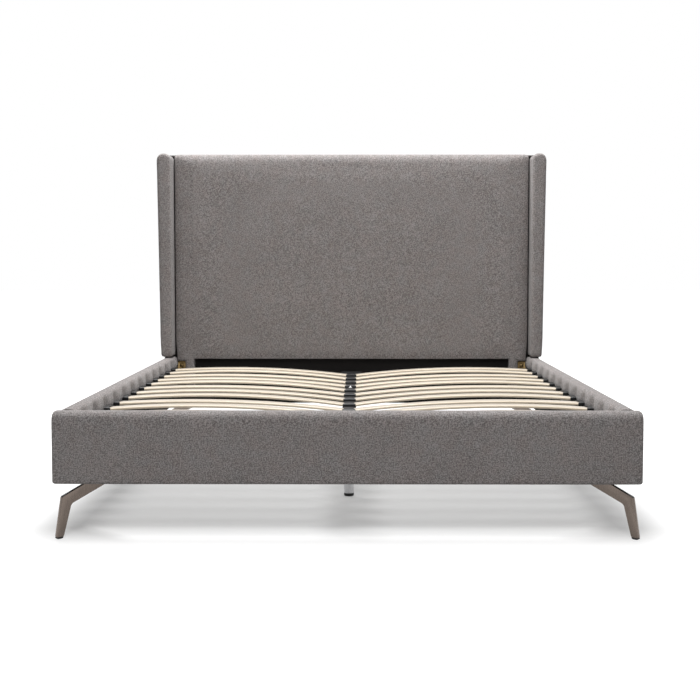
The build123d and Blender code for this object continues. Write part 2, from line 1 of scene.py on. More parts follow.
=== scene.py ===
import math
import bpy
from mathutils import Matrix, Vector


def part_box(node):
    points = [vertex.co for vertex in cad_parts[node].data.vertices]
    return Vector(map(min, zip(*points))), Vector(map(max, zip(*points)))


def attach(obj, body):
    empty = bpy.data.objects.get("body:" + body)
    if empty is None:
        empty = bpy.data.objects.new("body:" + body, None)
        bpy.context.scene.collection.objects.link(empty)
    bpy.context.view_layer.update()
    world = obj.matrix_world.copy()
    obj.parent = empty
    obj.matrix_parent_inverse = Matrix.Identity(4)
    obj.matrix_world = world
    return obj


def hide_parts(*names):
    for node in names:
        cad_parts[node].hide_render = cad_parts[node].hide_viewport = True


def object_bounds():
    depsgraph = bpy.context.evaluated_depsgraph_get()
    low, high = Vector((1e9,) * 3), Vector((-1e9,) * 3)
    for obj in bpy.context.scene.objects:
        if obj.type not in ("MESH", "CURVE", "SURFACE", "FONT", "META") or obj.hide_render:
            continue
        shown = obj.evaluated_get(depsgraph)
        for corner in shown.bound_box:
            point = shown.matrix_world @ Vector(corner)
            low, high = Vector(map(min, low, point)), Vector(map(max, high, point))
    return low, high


bl_info = {
    "name": "Winged upholstered bed",
    "version": (1, 0, 0),
    "blender": (4, 5, 0),
    "location": "View3D > Sidebar > Bed",
    "description": "Dresses the packed bed with padded cloth, birch slats, moulded holders and metalwork",
    "category": "Object",
}

from collections import namedtuple
from contextlib import contextmanager

import bmesh
import bpy
from bpy.props import FloatProperty, FloatVectorProperty, PointerProperty
from mathutils import Matrix, Vector

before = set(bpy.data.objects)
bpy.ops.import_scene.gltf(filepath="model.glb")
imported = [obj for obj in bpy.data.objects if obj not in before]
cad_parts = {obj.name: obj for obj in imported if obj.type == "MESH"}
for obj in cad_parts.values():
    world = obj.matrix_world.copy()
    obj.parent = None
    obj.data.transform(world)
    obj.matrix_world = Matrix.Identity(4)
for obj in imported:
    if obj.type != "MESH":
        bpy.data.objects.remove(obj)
CAD_BOX = [list(corner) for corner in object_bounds()]
MM = 0.001
ROOT = "root"


# Places read from the frame
def low(node):
    """Lowest corner of a CAD node."""
    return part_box(node)[0]


def high(node):
    """Highest corner of a CAD node."""
    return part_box(node)[1]


def middle(node):
    """Middle of a CAD node's box."""
    return (low(node) + high(node)) / 2


SLAT_COUNT = sum(1 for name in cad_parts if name.startswith("slat_right_"))
SLAT_FIRST = middle("slat_right_01").y
SLAT_LAST = middle(f"slat_right_{SLAT_COUNT:02d}").y
SLAT_PITCH = (SLAT_LAST - SLAT_FIRST) / (SLAT_COUNT - 1)
RAIL_INNER = low("side_rail_cover_right").x
RAIL_OUTER = high("side_rail_cover_right").x
RAIL_TOP = high("side_rail_cover_right").z
UNDERSIDE = low("side_rail_cover_right").z
LEDGE_LEVEL = middle("slat_ledges").z
FOOT_INNER = low("side_rail_cover_right").y
FACE_FRONT = high("side_rail_cover_right").y


# Settings
TINT = {"subtype": "COLOR", "size": 4, "min": 0, "max": 1}


class BedClothSettings(bpy.types.PropertyGroup):
    """Padded cloth of the bed."""
    light_yarn: FloatVectorProperty(
        name="Light yarn", description="Colour of the palest yarn", default=(0.334, 0.308, 0.300, 1), **TINT)
    dark_yarn: FloatVectorProperty(
        name="Dark yarn", description="Colour of the darkest yarn", default=(0.124, 0.111, 0.108, 1), **TINT)
    thread_pitch: FloatProperty(
        name="Thread pitch", description="Distance between two threads", unit="LENGTH", default=1.5 * MM,
        min=0.3 * MM, max=10 * MM)
    pressure: FloatProperty(
        name="Padding pressure", description="Push of the padding in the cloth simulation", default=4.0,
        min=0, max=50)
    swell: FloatProperty(
        name="Largest swell", description="How far a point of the cloth may move out", unit="LENGTH",
        default=4 * MM, min=0, max=0.05)
    mesh_step: FloatProperty(
        name="Mesh step", description="Distance between the points of a padded piece", unit="LENGTH",
        default=10 * MM, min=2 * MM, max=0.05)


class BedTimberSettings(bpy.types.PropertyGroup):
    """Birch slats and the boards inside."""
    slat_colour: FloatVectorProperty(
        name="Slats", description="Colour of the birch laminate", default=(0.47, 0.424, 0.366, 1), **TINT)
    board_colour: FloatVectorProperty(
        name="Boards", description="Colour of the raw timber", default=(0.50, 0.34, 0.18, 1), **TINT)
    edge_radius: FloatProperty(
        name="Slat edge", description="Rounding of a slat's long edges", unit="LENGTH", default=3.2 * MM,
        min=0.2 * MM, max=3.9 * MM)


class BedMetalSettings(bpy.types.PropertyGroup):
    """Legs, brackets and plastic holders."""
    leg_colour: FloatVectorProperty(
        name="Corner legs", description="Tint of the brushed legs", default=(0.165, 0.134, 0.115, 1), **TINT)
    plastic_colour: FloatVectorProperty(
        name="Holders", description="Colour of the moulded plastic", default=(0.008, 0.008, 0.0085, 1),
        **TINT)
    edge_width: FloatProperty(
        name="Eased edges", description="Width of the bevel on cut metal", unit="LENGTH", default=1.0 * MM,
        min=0.1 * MM, max=3 * MM)


class BedStageSettings(bpy.types.PropertyGroup):
    """Floor, light and camera."""
    floor_colour: FloatVectorProperty(
        name="Floor", description="Colour of the floor", default=(0.40, 0.40, 0.40, 1), **TINT)
    daylight: FloatProperty(
        name="Daylight", description="Strength of the light from all round", default=0.11, min=0, max=5)
    key_power: FloatProperty(
        name="Overhead lamp", description="Power of the large lamp above the bed", unit="POWER",
        default=285.0, min=0, max=5000)
    front_power: FloatProperty(
        name="Front lamp", description="Power of the soft lamp above the camera", unit="POWER",
        default=94.0, min=0, max=5000)
    lens: FloatProperty(
        name="Lens", description="Focal length of the camera", unit="CAMERA", default=68.06, min=10, max=300)
    pitch: FloatProperty(
        name="Tilt", description="How far the camera looks down", subtype="ANGLE",
        default=math.radians(3.84), min=0, max=math.radians(80))


Settings = namedtuple("Settings", "cloth timber metal stage")


def settings():
    """The scene's groups of settings."""
    scene = bpy.context.scene
    return Settings(scene.bed_cloth, scene.bed_timber, scene.bed_metal, scene.bed_stage)


# Node building
def fill_socket(tree, socket, value):
    """Links a socket to another one, or gives it a value."""
    if isinstance(value, bpy.types.NodeSocket):
        tree.links.new(value, socket)
    else:
        socket.default_value = value


def put(tree, kind, options=None, **values):
    """Adds a node, fills its sockets and gives back its outputs; an underscore and a number name a
    socket by its place."""
    made = tree.nodes.new(kind)
    for key, value in (options or {}).items():
        setattr(made, key, value)
    for key, value in values.items():
        fill_socket(tree, made.inputs[int(key[1:]) if key[0] == "_" else key.replace("_", " ")], value)
    return made.outputs


def maths(tree, operation, *values, kind="ShaderNodeMath"):
    """A math node's result."""
    return put(tree, kind, {"operation": operation},
               **{f"_{place}": value for place, value in enumerate(values)})[0]


def times(tree, one, two):
    """One value times another."""
    return maths(tree, "MULTIPLY", one, two)


def plus(tree, one, two):
    """The sum of two values."""
    return maths(tree, "ADD", one, two)


def weighted(tree, *shares):
    """The sum of values, each times its weight."""
    parts = [times(tree, value, weight) for value, weight in shares]
    total = parts.pop()
    while parts:
        total = plus(tree, parts.pop(), total)
    return total


def mixed(tree, share, one, two, kind="FLOAT"):
    """A blend of two numbers or colours."""
    first, result = {"FLOAT": (2, 0), "RGBA": (6, 2)}[kind]
    return put(tree, "ShaderNodeMix", {"data_type": kind},
               **{"_0": share, f"_{first}": one, f"_{first + 1}": two})[result]


def spread(tree, value, low_in, high_in, low_out=0.0, high_out=1.0):
    """Maps one range to another and holds its ends."""
    return put(tree, "ShaderNodeMapRange", _0=value, _1=low_in, _2=high_in, _3=low_out, _4=high_out)[0]


def parts_of(tree, vector):
    """The three parts of a vector."""
    return put(tree, "ShaderNodeSeparateXYZ", _0=vector)


def noise_at(tree, place, scale, detail=2.0, rough=0.5, stretch=None):
    """A noise texture's value, stretched along an axis where asked."""
    if stretch:
        place = put(tree, "ShaderNodeMapping", _0=place, Scale=stretch)[0]
    return put(tree, "ShaderNodeTexNoise", Vector=place, Scale=scale, Detail=detail, Roughness=rough)[0]


# Shared shader effects
def weave_fill(tree, source):
    """Plain weave with a melange of yarns on whichever plane the cloth faces."""
    where = put(tree, "ShaderNodeTexCoord")
    place = parts_of(tree, where["Object"])
    side = parts_of(tree, maths(tree, "ABSOLUTE", where["Normal"], kind="ShaderNodeVectorMath"))
    faces_x = maths(tree, "GREATER_THAN", side[0], maths(tree, "MAXIMUM", side[1], side[2]))
    faces_z = maths(tree, "GREATER_THAN", side[2], maths(tree, "MAXIMUM", side[0], side[1]))
    warp = maths(tree, "DIVIDE", mixed(tree, faces_x, place[0], place[1]), source["Thread pitch"])
    weft = maths(tree, "DIVIDE", mixed(tree, faces_z, place[2], place[1]), source["Thread pitch"])
    over = maths(tree, "PINGPONG", plus(tree, maths(tree, "FLOOR", warp), maths(tree, "FLOOR", weft)), 1.0)
    rounds = [maths(tree, "ABSOLUTE", maths(tree, "SINE", times(tree, thread, math.pi)))
              for thread in (warp, weft)]
    bump = mixed(tree, over, *rounds)
    threads = put(tree, "ShaderNodeCombineXYZ", _0=warp, _1=weft)[0]
    yarns = [noise_at(tree, threads, 0.9, 1.0, 0.5, stretch)
             for stretch in ((1.0, 0.09, 1.0), (0.09, 1.0, 1.0))]
    yarn = mixed(tree, over, *yarns)
    heather = noise_at(tree, where["Object"], 275.0, 2.0, 0.75)
    patch = noise_at(tree, where["Object"], 7.0, 3.0, 0.55)
    tone = spread(tree, weighted(tree, (yarn, 0.33), (heather, 0.62), (patch, 0.05)), 0.44, 0.56)
    colour = mixed(tree, tone, source["Dark yarn"], source["Light yarn"], "RGBA")
    warmth = spread(tree, noise_at(tree, where["Object"], 26.0, 2.0, 0.6), 0.3, 0.7, 0.7, 1.3)
    warm = put(tree, "ShaderNodeHueSaturation", Hue=0.5, Saturation=warmth, Value=1.0, Color=colour)[0]
    return {"Colour": warm, "Height": weighted(tree, (bump, 0.75), (yarn, 0.5)),
            "Roughness": spread(tree, bump, 0.0, 1.0, 0.96, 0.84)}


def grain_fill(tree, source):
    """Wood grain that runs along X, with pores, a slow drift and glue lines between the plies."""
    where = put(tree, "ShaderNodeTexCoord")["Object"]
    stretched = put(tree, "ShaderNodeMapping", _0=where, Scale=source["Stretch"])[0]
    wave = put(tree, "ShaderNodeTexWave", {"wave_type": "RINGS", "rings_direction": "X"}, Vector=stretched,
               Scale=source["Ring scale"], Distortion=3.0, Detail=3.0, Detail_Scale=1.4)["Fac"]
    pores = noise_at(tree, stretched, 240.0, 2.0, 0.6)
    drift = noise_at(tree, where, 5.0, 1.0, 0.5)
    share = times(tree, weighted(tree, (wave, 0.55), (pores, 0.30), (drift, 0.30)), source["Contrast"])
    face = mixed(tree, share, source["Light wood"], source["Dark wood"], "RGBA")
    ply = put(tree, "ShaderNodeAttribute", {"attribute_name": "ply"})["Fac"]
    glue = maths(tree, "PINGPONG", times(tree, ply, source["Plies"]), 1.0)
    # The edge faces take a colour paler than the face: partly the plies' own tone, partly painted light on
    # the slats' shaded edges.
    layer = mixed(tree, spread(tree, glue, 0.80, 0.98), source["Edge wood"], source["Dark wood"], "RGBA")
    side = times(tree, maths(tree, "LESS_THAN", maths(tree, "ABSOLUTE", ply), 0.97),
                 maths(tree, "MINIMUM", source["Plies"], 1.0))
    return {"Colour": mixed(tree, side, face, layer, "RGBA"), "Height": maths(tree, "SUBTRACT", 1.0, pores),
            "Roughness": spread(tree, pores, 0.3, 0.7, 0.42, 0.56)}


def brushed_fill(tree, source):
    """Fine lines left by brushing, a little handling wear, and painted shade that darkens the upper side
    where asked.
    """
    where = put(tree, "ShaderNodeTexCoord")
    lines = noise_at(tree, where["Object"], source["Line scale"], 2.0, 0.6, (1.0, 1.0, 0.03))
    smudge = noise_at(tree, where["Object"], 18.0, 3.0, 0.6)
    wear = plus(tree, spread(tree, lines, 0.3, 0.7, -0.06, 0.06),
                spread(tree, smudge, 0.35, 0.7, -0.03, 0.07))
    colour = put(tree, "ShaderNodeHueSaturation", Hue=0.5, Saturation=1.0,
                 Value=spread(tree, lines, 0.25, 0.75, 0.86, 1.12), Color=source["Metal"])[0]
    # Painted shade: faces that point up are mixed towards black, standing in for the dark underside of the
    # bed above them.
    top = times(tree, spread(tree, parts_of(tree, where["Normal"])[2], 0.30, 0.55), source["Dark top"])
    return {"Colour": mixed(tree, top, colour, (0.004, 0.004, 0.004, 1), "RGBA"), "Height": lines,
            "Roughness": plus(tree, source["Roughness"], wear)}


def moulded_fill(tree, source):
    """Spark-eroded skin of moulded plastic or powder coat, with a trace of dust."""
    where = put(tree, "ShaderNodeTexCoord")
    skin = noise_at(tree, where["Object"], source["Skin scale"], 2.0, 0.55)
    dust = noise_at(tree, where["Object"], 45.0, 4.0, 0.7)
    settle = times(tree, spread(tree, parts_of(tree, where["Normal"])[2], 0.2, 1.0),
                   times(tree, spread(tree, dust, 0.42, 0.75), source["Dust"]))
    wear = plus(tree, spread(tree, skin, 0.3, 0.7, -0.05, 0.05), times(tree, settle, 0.4))
    return {"Colour": mixed(tree, settle, source["Base"], (0.30, 0.29, 0.28, 1), "RGBA"), "Height": skin,
            "Roughness": plus(tree, source["Roughness"], wear)}


EFFECTS = {
    "Melange weave": (weave_fill, {"Light yarn": (0.3, 0.3, 0.3, 1), "Dark yarn": (0.2, 0.2, 0.2, 1),
                                   "Thread pitch": 1.5 * MM}),
    "Wood grain": (grain_fill, {"Light wood": (0.8, 0.7, 0.5, 1), "Dark wood": (0.6, 0.5, 0.3, 1),
                                "Edge wood": (0.7, 0.6, 0.4, 1), "Plies": 0.0, "Ring scale": 6.0,
                                "Contrast": 0.5, "Stretch": (0.06, 1.0, 1.0)}),
    "Brushed metal": (brushed_fill, {"Metal": (0.5, 0.5, 0.5, 1), "Line scale": 900.0, "Roughness": 0.35,
                                     "Dark top": 0.0}),
    "Moulded skin": (moulded_fill, {"Base": (0.02, 0.02, 0.02, 1), "Skin scale": 900.0, "Roughness": 0.45,
                                    "Dust": 0.1}),
}


def effect(name):
    """A shared shader effect with named inputs and outputs, built once."""
    if name in bpy.data.node_groups:
        return bpy.data.node_groups[name]
    fill, inputs = EFFECTS[name]
    tree = bpy.data.node_groups.new(name, "ShaderNodeTree")
    for label, value in inputs.items():
        size = len(value) if isinstance(value, tuple) else 1
        kind = {1: "NodeSocketFloat", 3: "NodeSocketVector", 4: "NodeSocketColor"}[size]
        tree.interface.new_socket(label, in_out="INPUT", socket_type=kind).default_value = value
    for label, kind in (("Colour", "NodeSocketColor"), ("Height", "NodeSocketFloat"),
                        ("Roughness", "NodeSocketFloat")):
        tree.interface.new_socket(label, in_out="OUTPUT", socket_type=kind)
    put(tree, "NodeGroupOutput", **fill(tree, put(tree, "NodeGroupInput")))
    return tree


# Finishes
def coated(name, kind, values, bump, depth, shader):
    """A material whose colour, roughness and bump come from a shared effect."""
    material = bpy.data.materials.new(name)
    material.use_nodes = True
    tree = material.node_tree
    given = put(tree, "ShaderNodeGroup", {"node_tree": effect(kind)}, **values)
    raised = put(tree, "ShaderNodeBump", Strength=bump, Distance=depth, Height=given["Height"])[0]
    linked = {"Base Color": given["Colour"], "Roughness": given["Roughness"], "Normal": raised}
    for key, value in {**linked, **shader}.items():
        fill_socket(tree, tree.nodes["Principled BSDF"].inputs[key], value)
    return material


def shade(colour, *shares):
    """A colour with its parts scaled."""
    return [part * share for part, share in zip(colour, shares)] + [1]


def recipes():
    """What each slot's finish is made of: its name, its effect with the effect's values, the strength
    and depth of its bump, and the shader's own values."""
    cloth, timber, metal, _ = settings()
    slat, board = timber.slat_colour, timber.board_colour
    return {
        "upholstery": ("Upholstery cloth", "Melange weave", {
            "Light yarn": cloth.light_yarn, "Dark yarn": cloth.dark_yarn, "Thread pitch": cloth.thread_pitch,
        }, 0.55, 0.5 * MM, {"Sheen Weight": 0.14, "Sheen Roughness": 0.50, "Specular IOR Level": 0.25}),
        # Black lining, also used as painted shade on inner faces and behind the cushion.
        "lining": ("Black lining", "Moulded skin", {
            "Base": (0.016, 0.0145, 0.014, 1), "Skin scale": 420.0, "Roughness": 0.92, "Dust": 0.05,
        }, 0.5, 0.4 * MM, {"Specular IOR Level": 0.15}),
        "birch": ("Birch laminate", "Wood grain", {
            "Light wood": slat, "Dark wood": shade(slat, 0.88, 0.82, 0.72),
            # The edge colour is lifted well above the face colour, partly as painted light on the shaded
            # slat edges.
            "Edge wood": shade(slat, 1.66, 1.57, 1.39), "Plies": 3.0, "Ring scale": 9.0, "Contrast": 0.55,
        }, 0.10, 0.2 * MM, {"Coat Weight": 0.12, "Coat Roughness": 0.35}),
        "timber": ("Raw timber", "Wood grain", {
            "Light wood": board, "Dark wood": shade(board, 0.62, 0.55, 0.5), "Ring scale": 5.0,
            "Contrast": 0.9,
        }, 0.3, 0.4 * MM, {}),
        "black_plastic": ("Moulded plastic", "Moulded skin", {
            "Base": metal.plastic_colour, "Skin scale": 1200.0, "Roughness": 0.46, "Dust": 0.05,
        }, 0.18, 0.2 * MM, {"Specular IOR Level": 0.3}),
        "black_steel": ("Powder coat", "Moulded skin", {
            "Base": (0.014, 0.014, 0.015, 1), "Skin scale": 600.0, "Roughness": 0.5, "Dust": 0.08,
        }, 0.3, 0.2 * MM, {"Specular IOR Level": 0.35}),
        # Painted shade on the legs' upward faces, through the effect's top shade.
        "bronze_steel": ("Brushed bronze", "Brushed metal", {
            "Metal": metal.leg_colour, "Line scale": 1100.0, "Roughness": 0.24, "Dark top": 1.0,
        }, 0.12, 0.1 * MM, {"Metallic": 0.9}),
        "satin_steel": ("Satin steel", "Brushed metal", {
            "Metal": (0.60, 0.60, 0.61, 1), "Line scale": 1300.0, "Roughness": 0.34,
        }, 0.1, 0.1 * MM, {"Metallic": 1.0}),
        "bright_steel": ("Bright steel", "Brushed metal", {
            "Metal": (0.78, 0.78, 0.78, 1), "Line scale": 1500.0, "Roughness": 0.18,
        }, 0.05, 0.05 * MM, {"Metallic": 1.0}),
        # Partly painted shade: the metal colour is darker than yellow zinc's own, to stand in for the shade
        # in the notch.
        "yellow_zinc": ("Yellow zinc", "Brushed metal", {
            "Metal": (0.175, 0.12, 0.052, 1), "Line scale": 700.0, "Roughness": 0.32,
        }, 0.1, 0.1 * MM, {"Metallic": 0.9}),
    }


def finish(slot):
    """The finish of a slot, made when it is first asked for."""
    name, *recipe = recipes()[slot]
    return bpy.data.materials.get(name) or coated(name, *recipe)


# Mesh building
def new_object(name, mesh):
    """A linked object at the origin."""
    made = bpy.data.objects.new(name, mesh)
    bpy.context.scene.collection.objects.link(made)
    return made


def mesh_from(name, work):
    """A mesh from finished bmesh work, with its faces pointing out."""
    bmesh.ops.recalc_face_normals(work, faces=work.faces)
    mesh = bpy.data.meshes.new(name)
    work.to_mesh(mesh)
    work.free()
    return mesh


@contextmanager
def editing(mesh):
    """A mesh opened for changes, which are written back at the end."""
    work = bmesh.new()
    work.from_mesh(mesh)
    yield work
    work.to_mesh(mesh)
    work.free()


def shaded(mesh, angle=35):
    """Smooth faces with sharp edges where the surface turns quickly."""
    mesh.polygons.foreach_set("use_smooth", [True] * len(mesh.polygons))
    mesh.set_sharp_from_angle(angle=math.radians(angle))
    return mesh


def settled(piece):
    """Applies a piece's modifiers."""
    bpy.context.view_layer.update()
    graph = bpy.context.evaluated_depsgraph_get()
    mesh = bpy.data.meshes.new_from_object(piece.evaluated_get(graph))
    old = piece.data
    piece.modifiers.clear()
    piece.data = mesh
    bpy.data.meshes.remove(old)
    return piece


def modified(piece, name, kind, **values):
    """Adds a modifier with its values and applies it."""
    modifier = piece.modifiers.new(name, kind)
    for key, value in values.items():
        setattr(modifier, key, value)
    return settled(piece)


def eased(name, mesh, width, segments, angle):
    """A piece from a mesh, its edges eased where they turn by more than an angle."""
    return modified(new_object(name, mesh), "Eased edges", "BEVEL", width=width, segments=segments,
                    limit_method="ANGLE", angle_limit=math.radians(angle))


def fitted(piece, slot, nodes, body=ROOT):
    """Gives a piece its finish and its body, and hides the CAD nodes that it stands for."""
    piece.data.materials.clear()
    piece.data.materials.append(finish(slot))
    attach(piece, body)
    if nodes:
        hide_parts(*nodes)


def line_inside_as_shade(piece, hidden):
    """Puts the black lining, which also stands in as painted shade inside the bed, on the faces that a test
    of place and normal picks.
    """
    piece.data.materials.append(finish("lining"))
    for face in piece.data.polygons:
        if hidden(face.center, face.normal):
            face.material_index = 1


def dress_node(node, slot):
    """Gives a CAD node that stays in view its finish."""
    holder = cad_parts[node]
    if not holder.material_slots:
        holder.data.materials.append(finish(slot))
    for place in holder.material_slots:
        place.material = finish(slot)


def ring_loft(name, rings, cap_steps):
    """A closed mesh through rings of points, its ends closed by shrinking rings."""
    ends = [(ring, sum(ring, Vector()) / len(ring)) for ring in (rings[0], rings[-1])]
    first_cap, last_cap = [[[point.lerp(pole, step / cap_steps) for point in ring]
                            for step in range(1, cap_steps)] for ring, pole in ends]
    work = bmesh.new()
    made = [[work.verts.new(point) for point in ring] for ring in first_cap[::-1] + rings + last_cap]
    around = [(place, (place + 1) % len(rings[0])) for place in range(len(rings[0]))]
    for one, two in zip(made, made[1:]):
        for place, after in around:
            work.faces.new((one[place], one[after], two[after], two[place]))
    for ring, (_, pole) in zip((made[0], made[-1]), ends):
        tip = work.verts.new(pole)
        for place, after in around:
            work.faces.new((ring[place], ring[after], tip))
    return mesh_from(name, work)


def rounded_outline(corners, step, draw=0.0):
    """Points round a closed outline, counter-clockwise, drawn in by an amount. Each corner is
    (a, b, radius), and the count of points doesn't depend on the draw."""
    places = [Vector(corner[:2]) for corner in corners]
    following = places[1:] + places[:1]
    arcs = []
    for index, (place, after) in enumerate(zip(places, following)):
        radius = corners[index][2]
        back = (places[index - 1] - place).normalized()
        forth = (after - place).normalized()
        half = back.angle(forth) / 2
        swing = math.pi - 2 * half
        left = max(radius - draw, 0.3 * MM)
        centre = place + (back + forth).normalized() * (draw + left) / math.sin(half)
        first = centre + Vector((-back.y, back.x)) * left
        turns = max(2, math.ceil(radius * swing / step))
        arcs.append([centre + Matrix.Rotation(swing * part / turns, 2) @ (first - centre)
                     for part in range(turns + 1)])
    points = []
    for index, arc in enumerate(arcs):
        target = arcs[(index + 1) % len(arcs)][0]
        parts = max(1, round((following[index] - places[index]).length / step))
        points += arc + [arc[-1].lerp(target, part / parts) for part in range(1, parts)]
    return points


def rounded_end(start, radius, turns):
    """Places through a rounded end, with how far the outline draws in at each."""
    return [(start + radius * (1 - math.cos(turn)), radius * (1 - math.sin(turn)))
            for turn in (math.pi / 2 * index / turns for index in range(turns))]


def even_run(start, length, parts):
    """Evenly spaced places where the outline keeps its full size."""
    return [(start + length * index / parts, 0.0) for index in range(parts + 1)]


def soft_ends(start, stop, radius, step):
    """Places along a padded bar with two rounded ends."""
    near = rounded_end(start, radius, 4)
    length = stop - start - 2 * radius
    between = even_run(start + radius, length, max(2, round(length / step)))
    return near + between + [(start + stop - place, draw) for place, draw in reversed(near)]


def drawn_bar(name, corners, step, stations, cap_steps, along_x=False):
    """A closed bar: an outline set at stations, each a place along Y or X and an amount drawn in."""
    rings = [[Vector((place, *point)) if along_x else Vector((point.x, place, point.y))
              for point in rounded_outline(corners, step, draw)] for place, draw in stations]
    return ring_loft(name, rings, cap_steps)


def merged_copy(node, name):
    """A copy of a CAD node with its loose triangles joined."""
    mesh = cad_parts[node].data.copy()
    mesh.name = name
    mesh.materials.clear()
    with editing(mesh) as work:
        bmesh.ops.remove_doubles(work, verts=work.verts, dist=0.01 * MM)
        bmesh.ops.dissolve_limit(work, angle_limit=math.radians(0.5), verts=work.verts, edges=work.edges)
    return mesh


def eased_piece(node, name, width):
    """A rigid CAD node rebuilt with eased edges."""
    piece = eased(name, merged_copy(node, name), width, 2, 28)
    shaded(piece.data)
    return piece


def sliced(work, places, axis):
    """Cuts a mesh across at places along an axis, so that it can bend there."""
    for place in places:
        bmesh.ops.bisect_plane(work, geom=work.verts[:] + work.edges[:] + work.faces[:],
                               plane_co=axis * place, plane_no=axis, dist=1e-6)


def each_point(mesh, move):
    """Moves every point of a mesh by a function of its place and normal."""
    normals = [vertex.normal.copy() for vertex in mesh.vertices]
    for vertex, normal in zip(mesh.vertices, normals):
        vertex.co = move(vertex.co.copy(), normal)
    mesh.update()


def mirror_mesh(mesh):
    """Mirrors a mesh to the other side of the bed."""
    mesh.transform(Matrix.Scale(-1, 4, (1, 0, 0)))
    mesh.flip_normals()


def near_one(value, width):
    """1 at zero, falling smoothly to 0 at the width."""
    share = max(0.0, 1 - abs(value) / width)
    return share * share * (3 - 2 * share)


# Padding
def evened(mesh, values, rounds):
    """Averages a value over neighbouring points."""
    for _ in range(rounds):
        sums, counts = values[:], [1] * len(values)
        for edge in mesh.edges:
            one, two = edge.vertices
            sums[one] += values[two]
            sums[two] += values[one]
            counts[one] += 1
            counts[two] += 1
        values = [total / count for total, count in zip(sums, counts)]
    return values


def blown_up(piece, holds, stiffness=12.0, frames=20):
    """Where the cloth simulation moves each point of a piece; points that are held stay."""
    group = piece.vertex_groups.new(name="Held")
    for index, weight in enumerate(holds):
        if weight > 0:
            group.add([index], weight, "REPLACE")
    cloth = piece.modifiers.new("Stuffing", "CLOTH")
    body = cloth.settings
    body.quality, body.mass = 5, 0.25
    body.tension_stiffness = body.compression_stiffness = stiffness
    body.bending_stiffness = 0.6
    body.use_pressure, body.uniform_pressure_force = True, settings().cloth.pressure
    body.vertex_group_mass = "Held"
    body.effector_weights.gravity = 0
    cloth.collision_settings.use_collision = False
    cloth.point_cache.frame_start, cloth.point_cache.frame_end = 1, frames
    scene = bpy.context.scene
    for step in range(1, frames + 1):
        scene.frame_set(step)
    evaluated = piece.evaluated_get(bpy.context.evaluated_depsgraph_get())
    moved = [vertex.co.copy() for vertex in evaluated.to_mesh().vertices]
    evaluated.to_mesh_clear()
    piece.modifiers.clear()
    piece.vertex_groups.clear()
    scene.frame_set(1)
    return moved


def stuffed(piece, held, swell, shrink=2 * MM, sink=0.3 * MM):
    """Blows a padded piece up from a slightly shrunk start; points where held is 1 stay, and the others
    rise along their normals by no more than swell."""
    mesh = piece.data
    rest = [vertex.co.copy() for vertex in mesh.vertices]
    normals = [vertex.normal.copy() for vertex in mesh.vertices]
    holds = [held(place, normal) for place, normal in zip(rest, normals)]
    each_point(mesh, lambda place, normal: place - normal * shrink * (1 - held(place, normal)))
    rises = [(1 - hold) * max(-sink, swell * math.tanh((target - start).dot(normal) / swell))
             for start, normal, target, hold in zip(rest, normals, blown_up(piece, holds), holds)]
    rises = evened(mesh, rises, 6)
    for vertex, start, normal, rise, hold in zip(mesh.vertices, rest, normals, rises, holds):
        vertex.co = start + normal * rise * (1 - hold)
    mesh.update()


def upholstered(piece, node, held, swell):
    """Stuffs a padded piece, smooths it and gives it its cloth."""
    stuffed(piece, held, swell)
    modified(piece, "Smoothing", "SUBSURF", levels=1, render_levels=1)
    piece.data.polygons.foreach_set("use_smooth", [True] * len(piece.data.polygons))
    fitted(piece, "upholstery", [node])


# Geometry Nodes
def new_tree(name, inputs):
    """An empty geometry tree with named inputs, and what it is given."""
    tree = bpy.data.node_groups.new(name, "GeometryNodeTree")
    for label, kind in {"Geometry": "Geometry", **inputs}.items():
        tree.interface.new_socket(label, in_out="INPUT", socket_type="NodeSocket" + kind)
    tree.interface.new_socket("Geometry", in_out="OUTPUT", socket_type="NodeSocketGeometry")
    return tree, put(tree, "NodeGroupInput")


def close_tree(tree, shape, material):
    """Ends a tree in real geometry with its material."""
    solid = put(tree, "GeometryNodeRealizeInstances", _0=shape)[0]
    dressed = put(tree, "GeometryNodeSetMaterial", Geometry=solid, Material=material)[0]
    put(tree, "NodeGroupOutput", _0=dressed)
    return tree


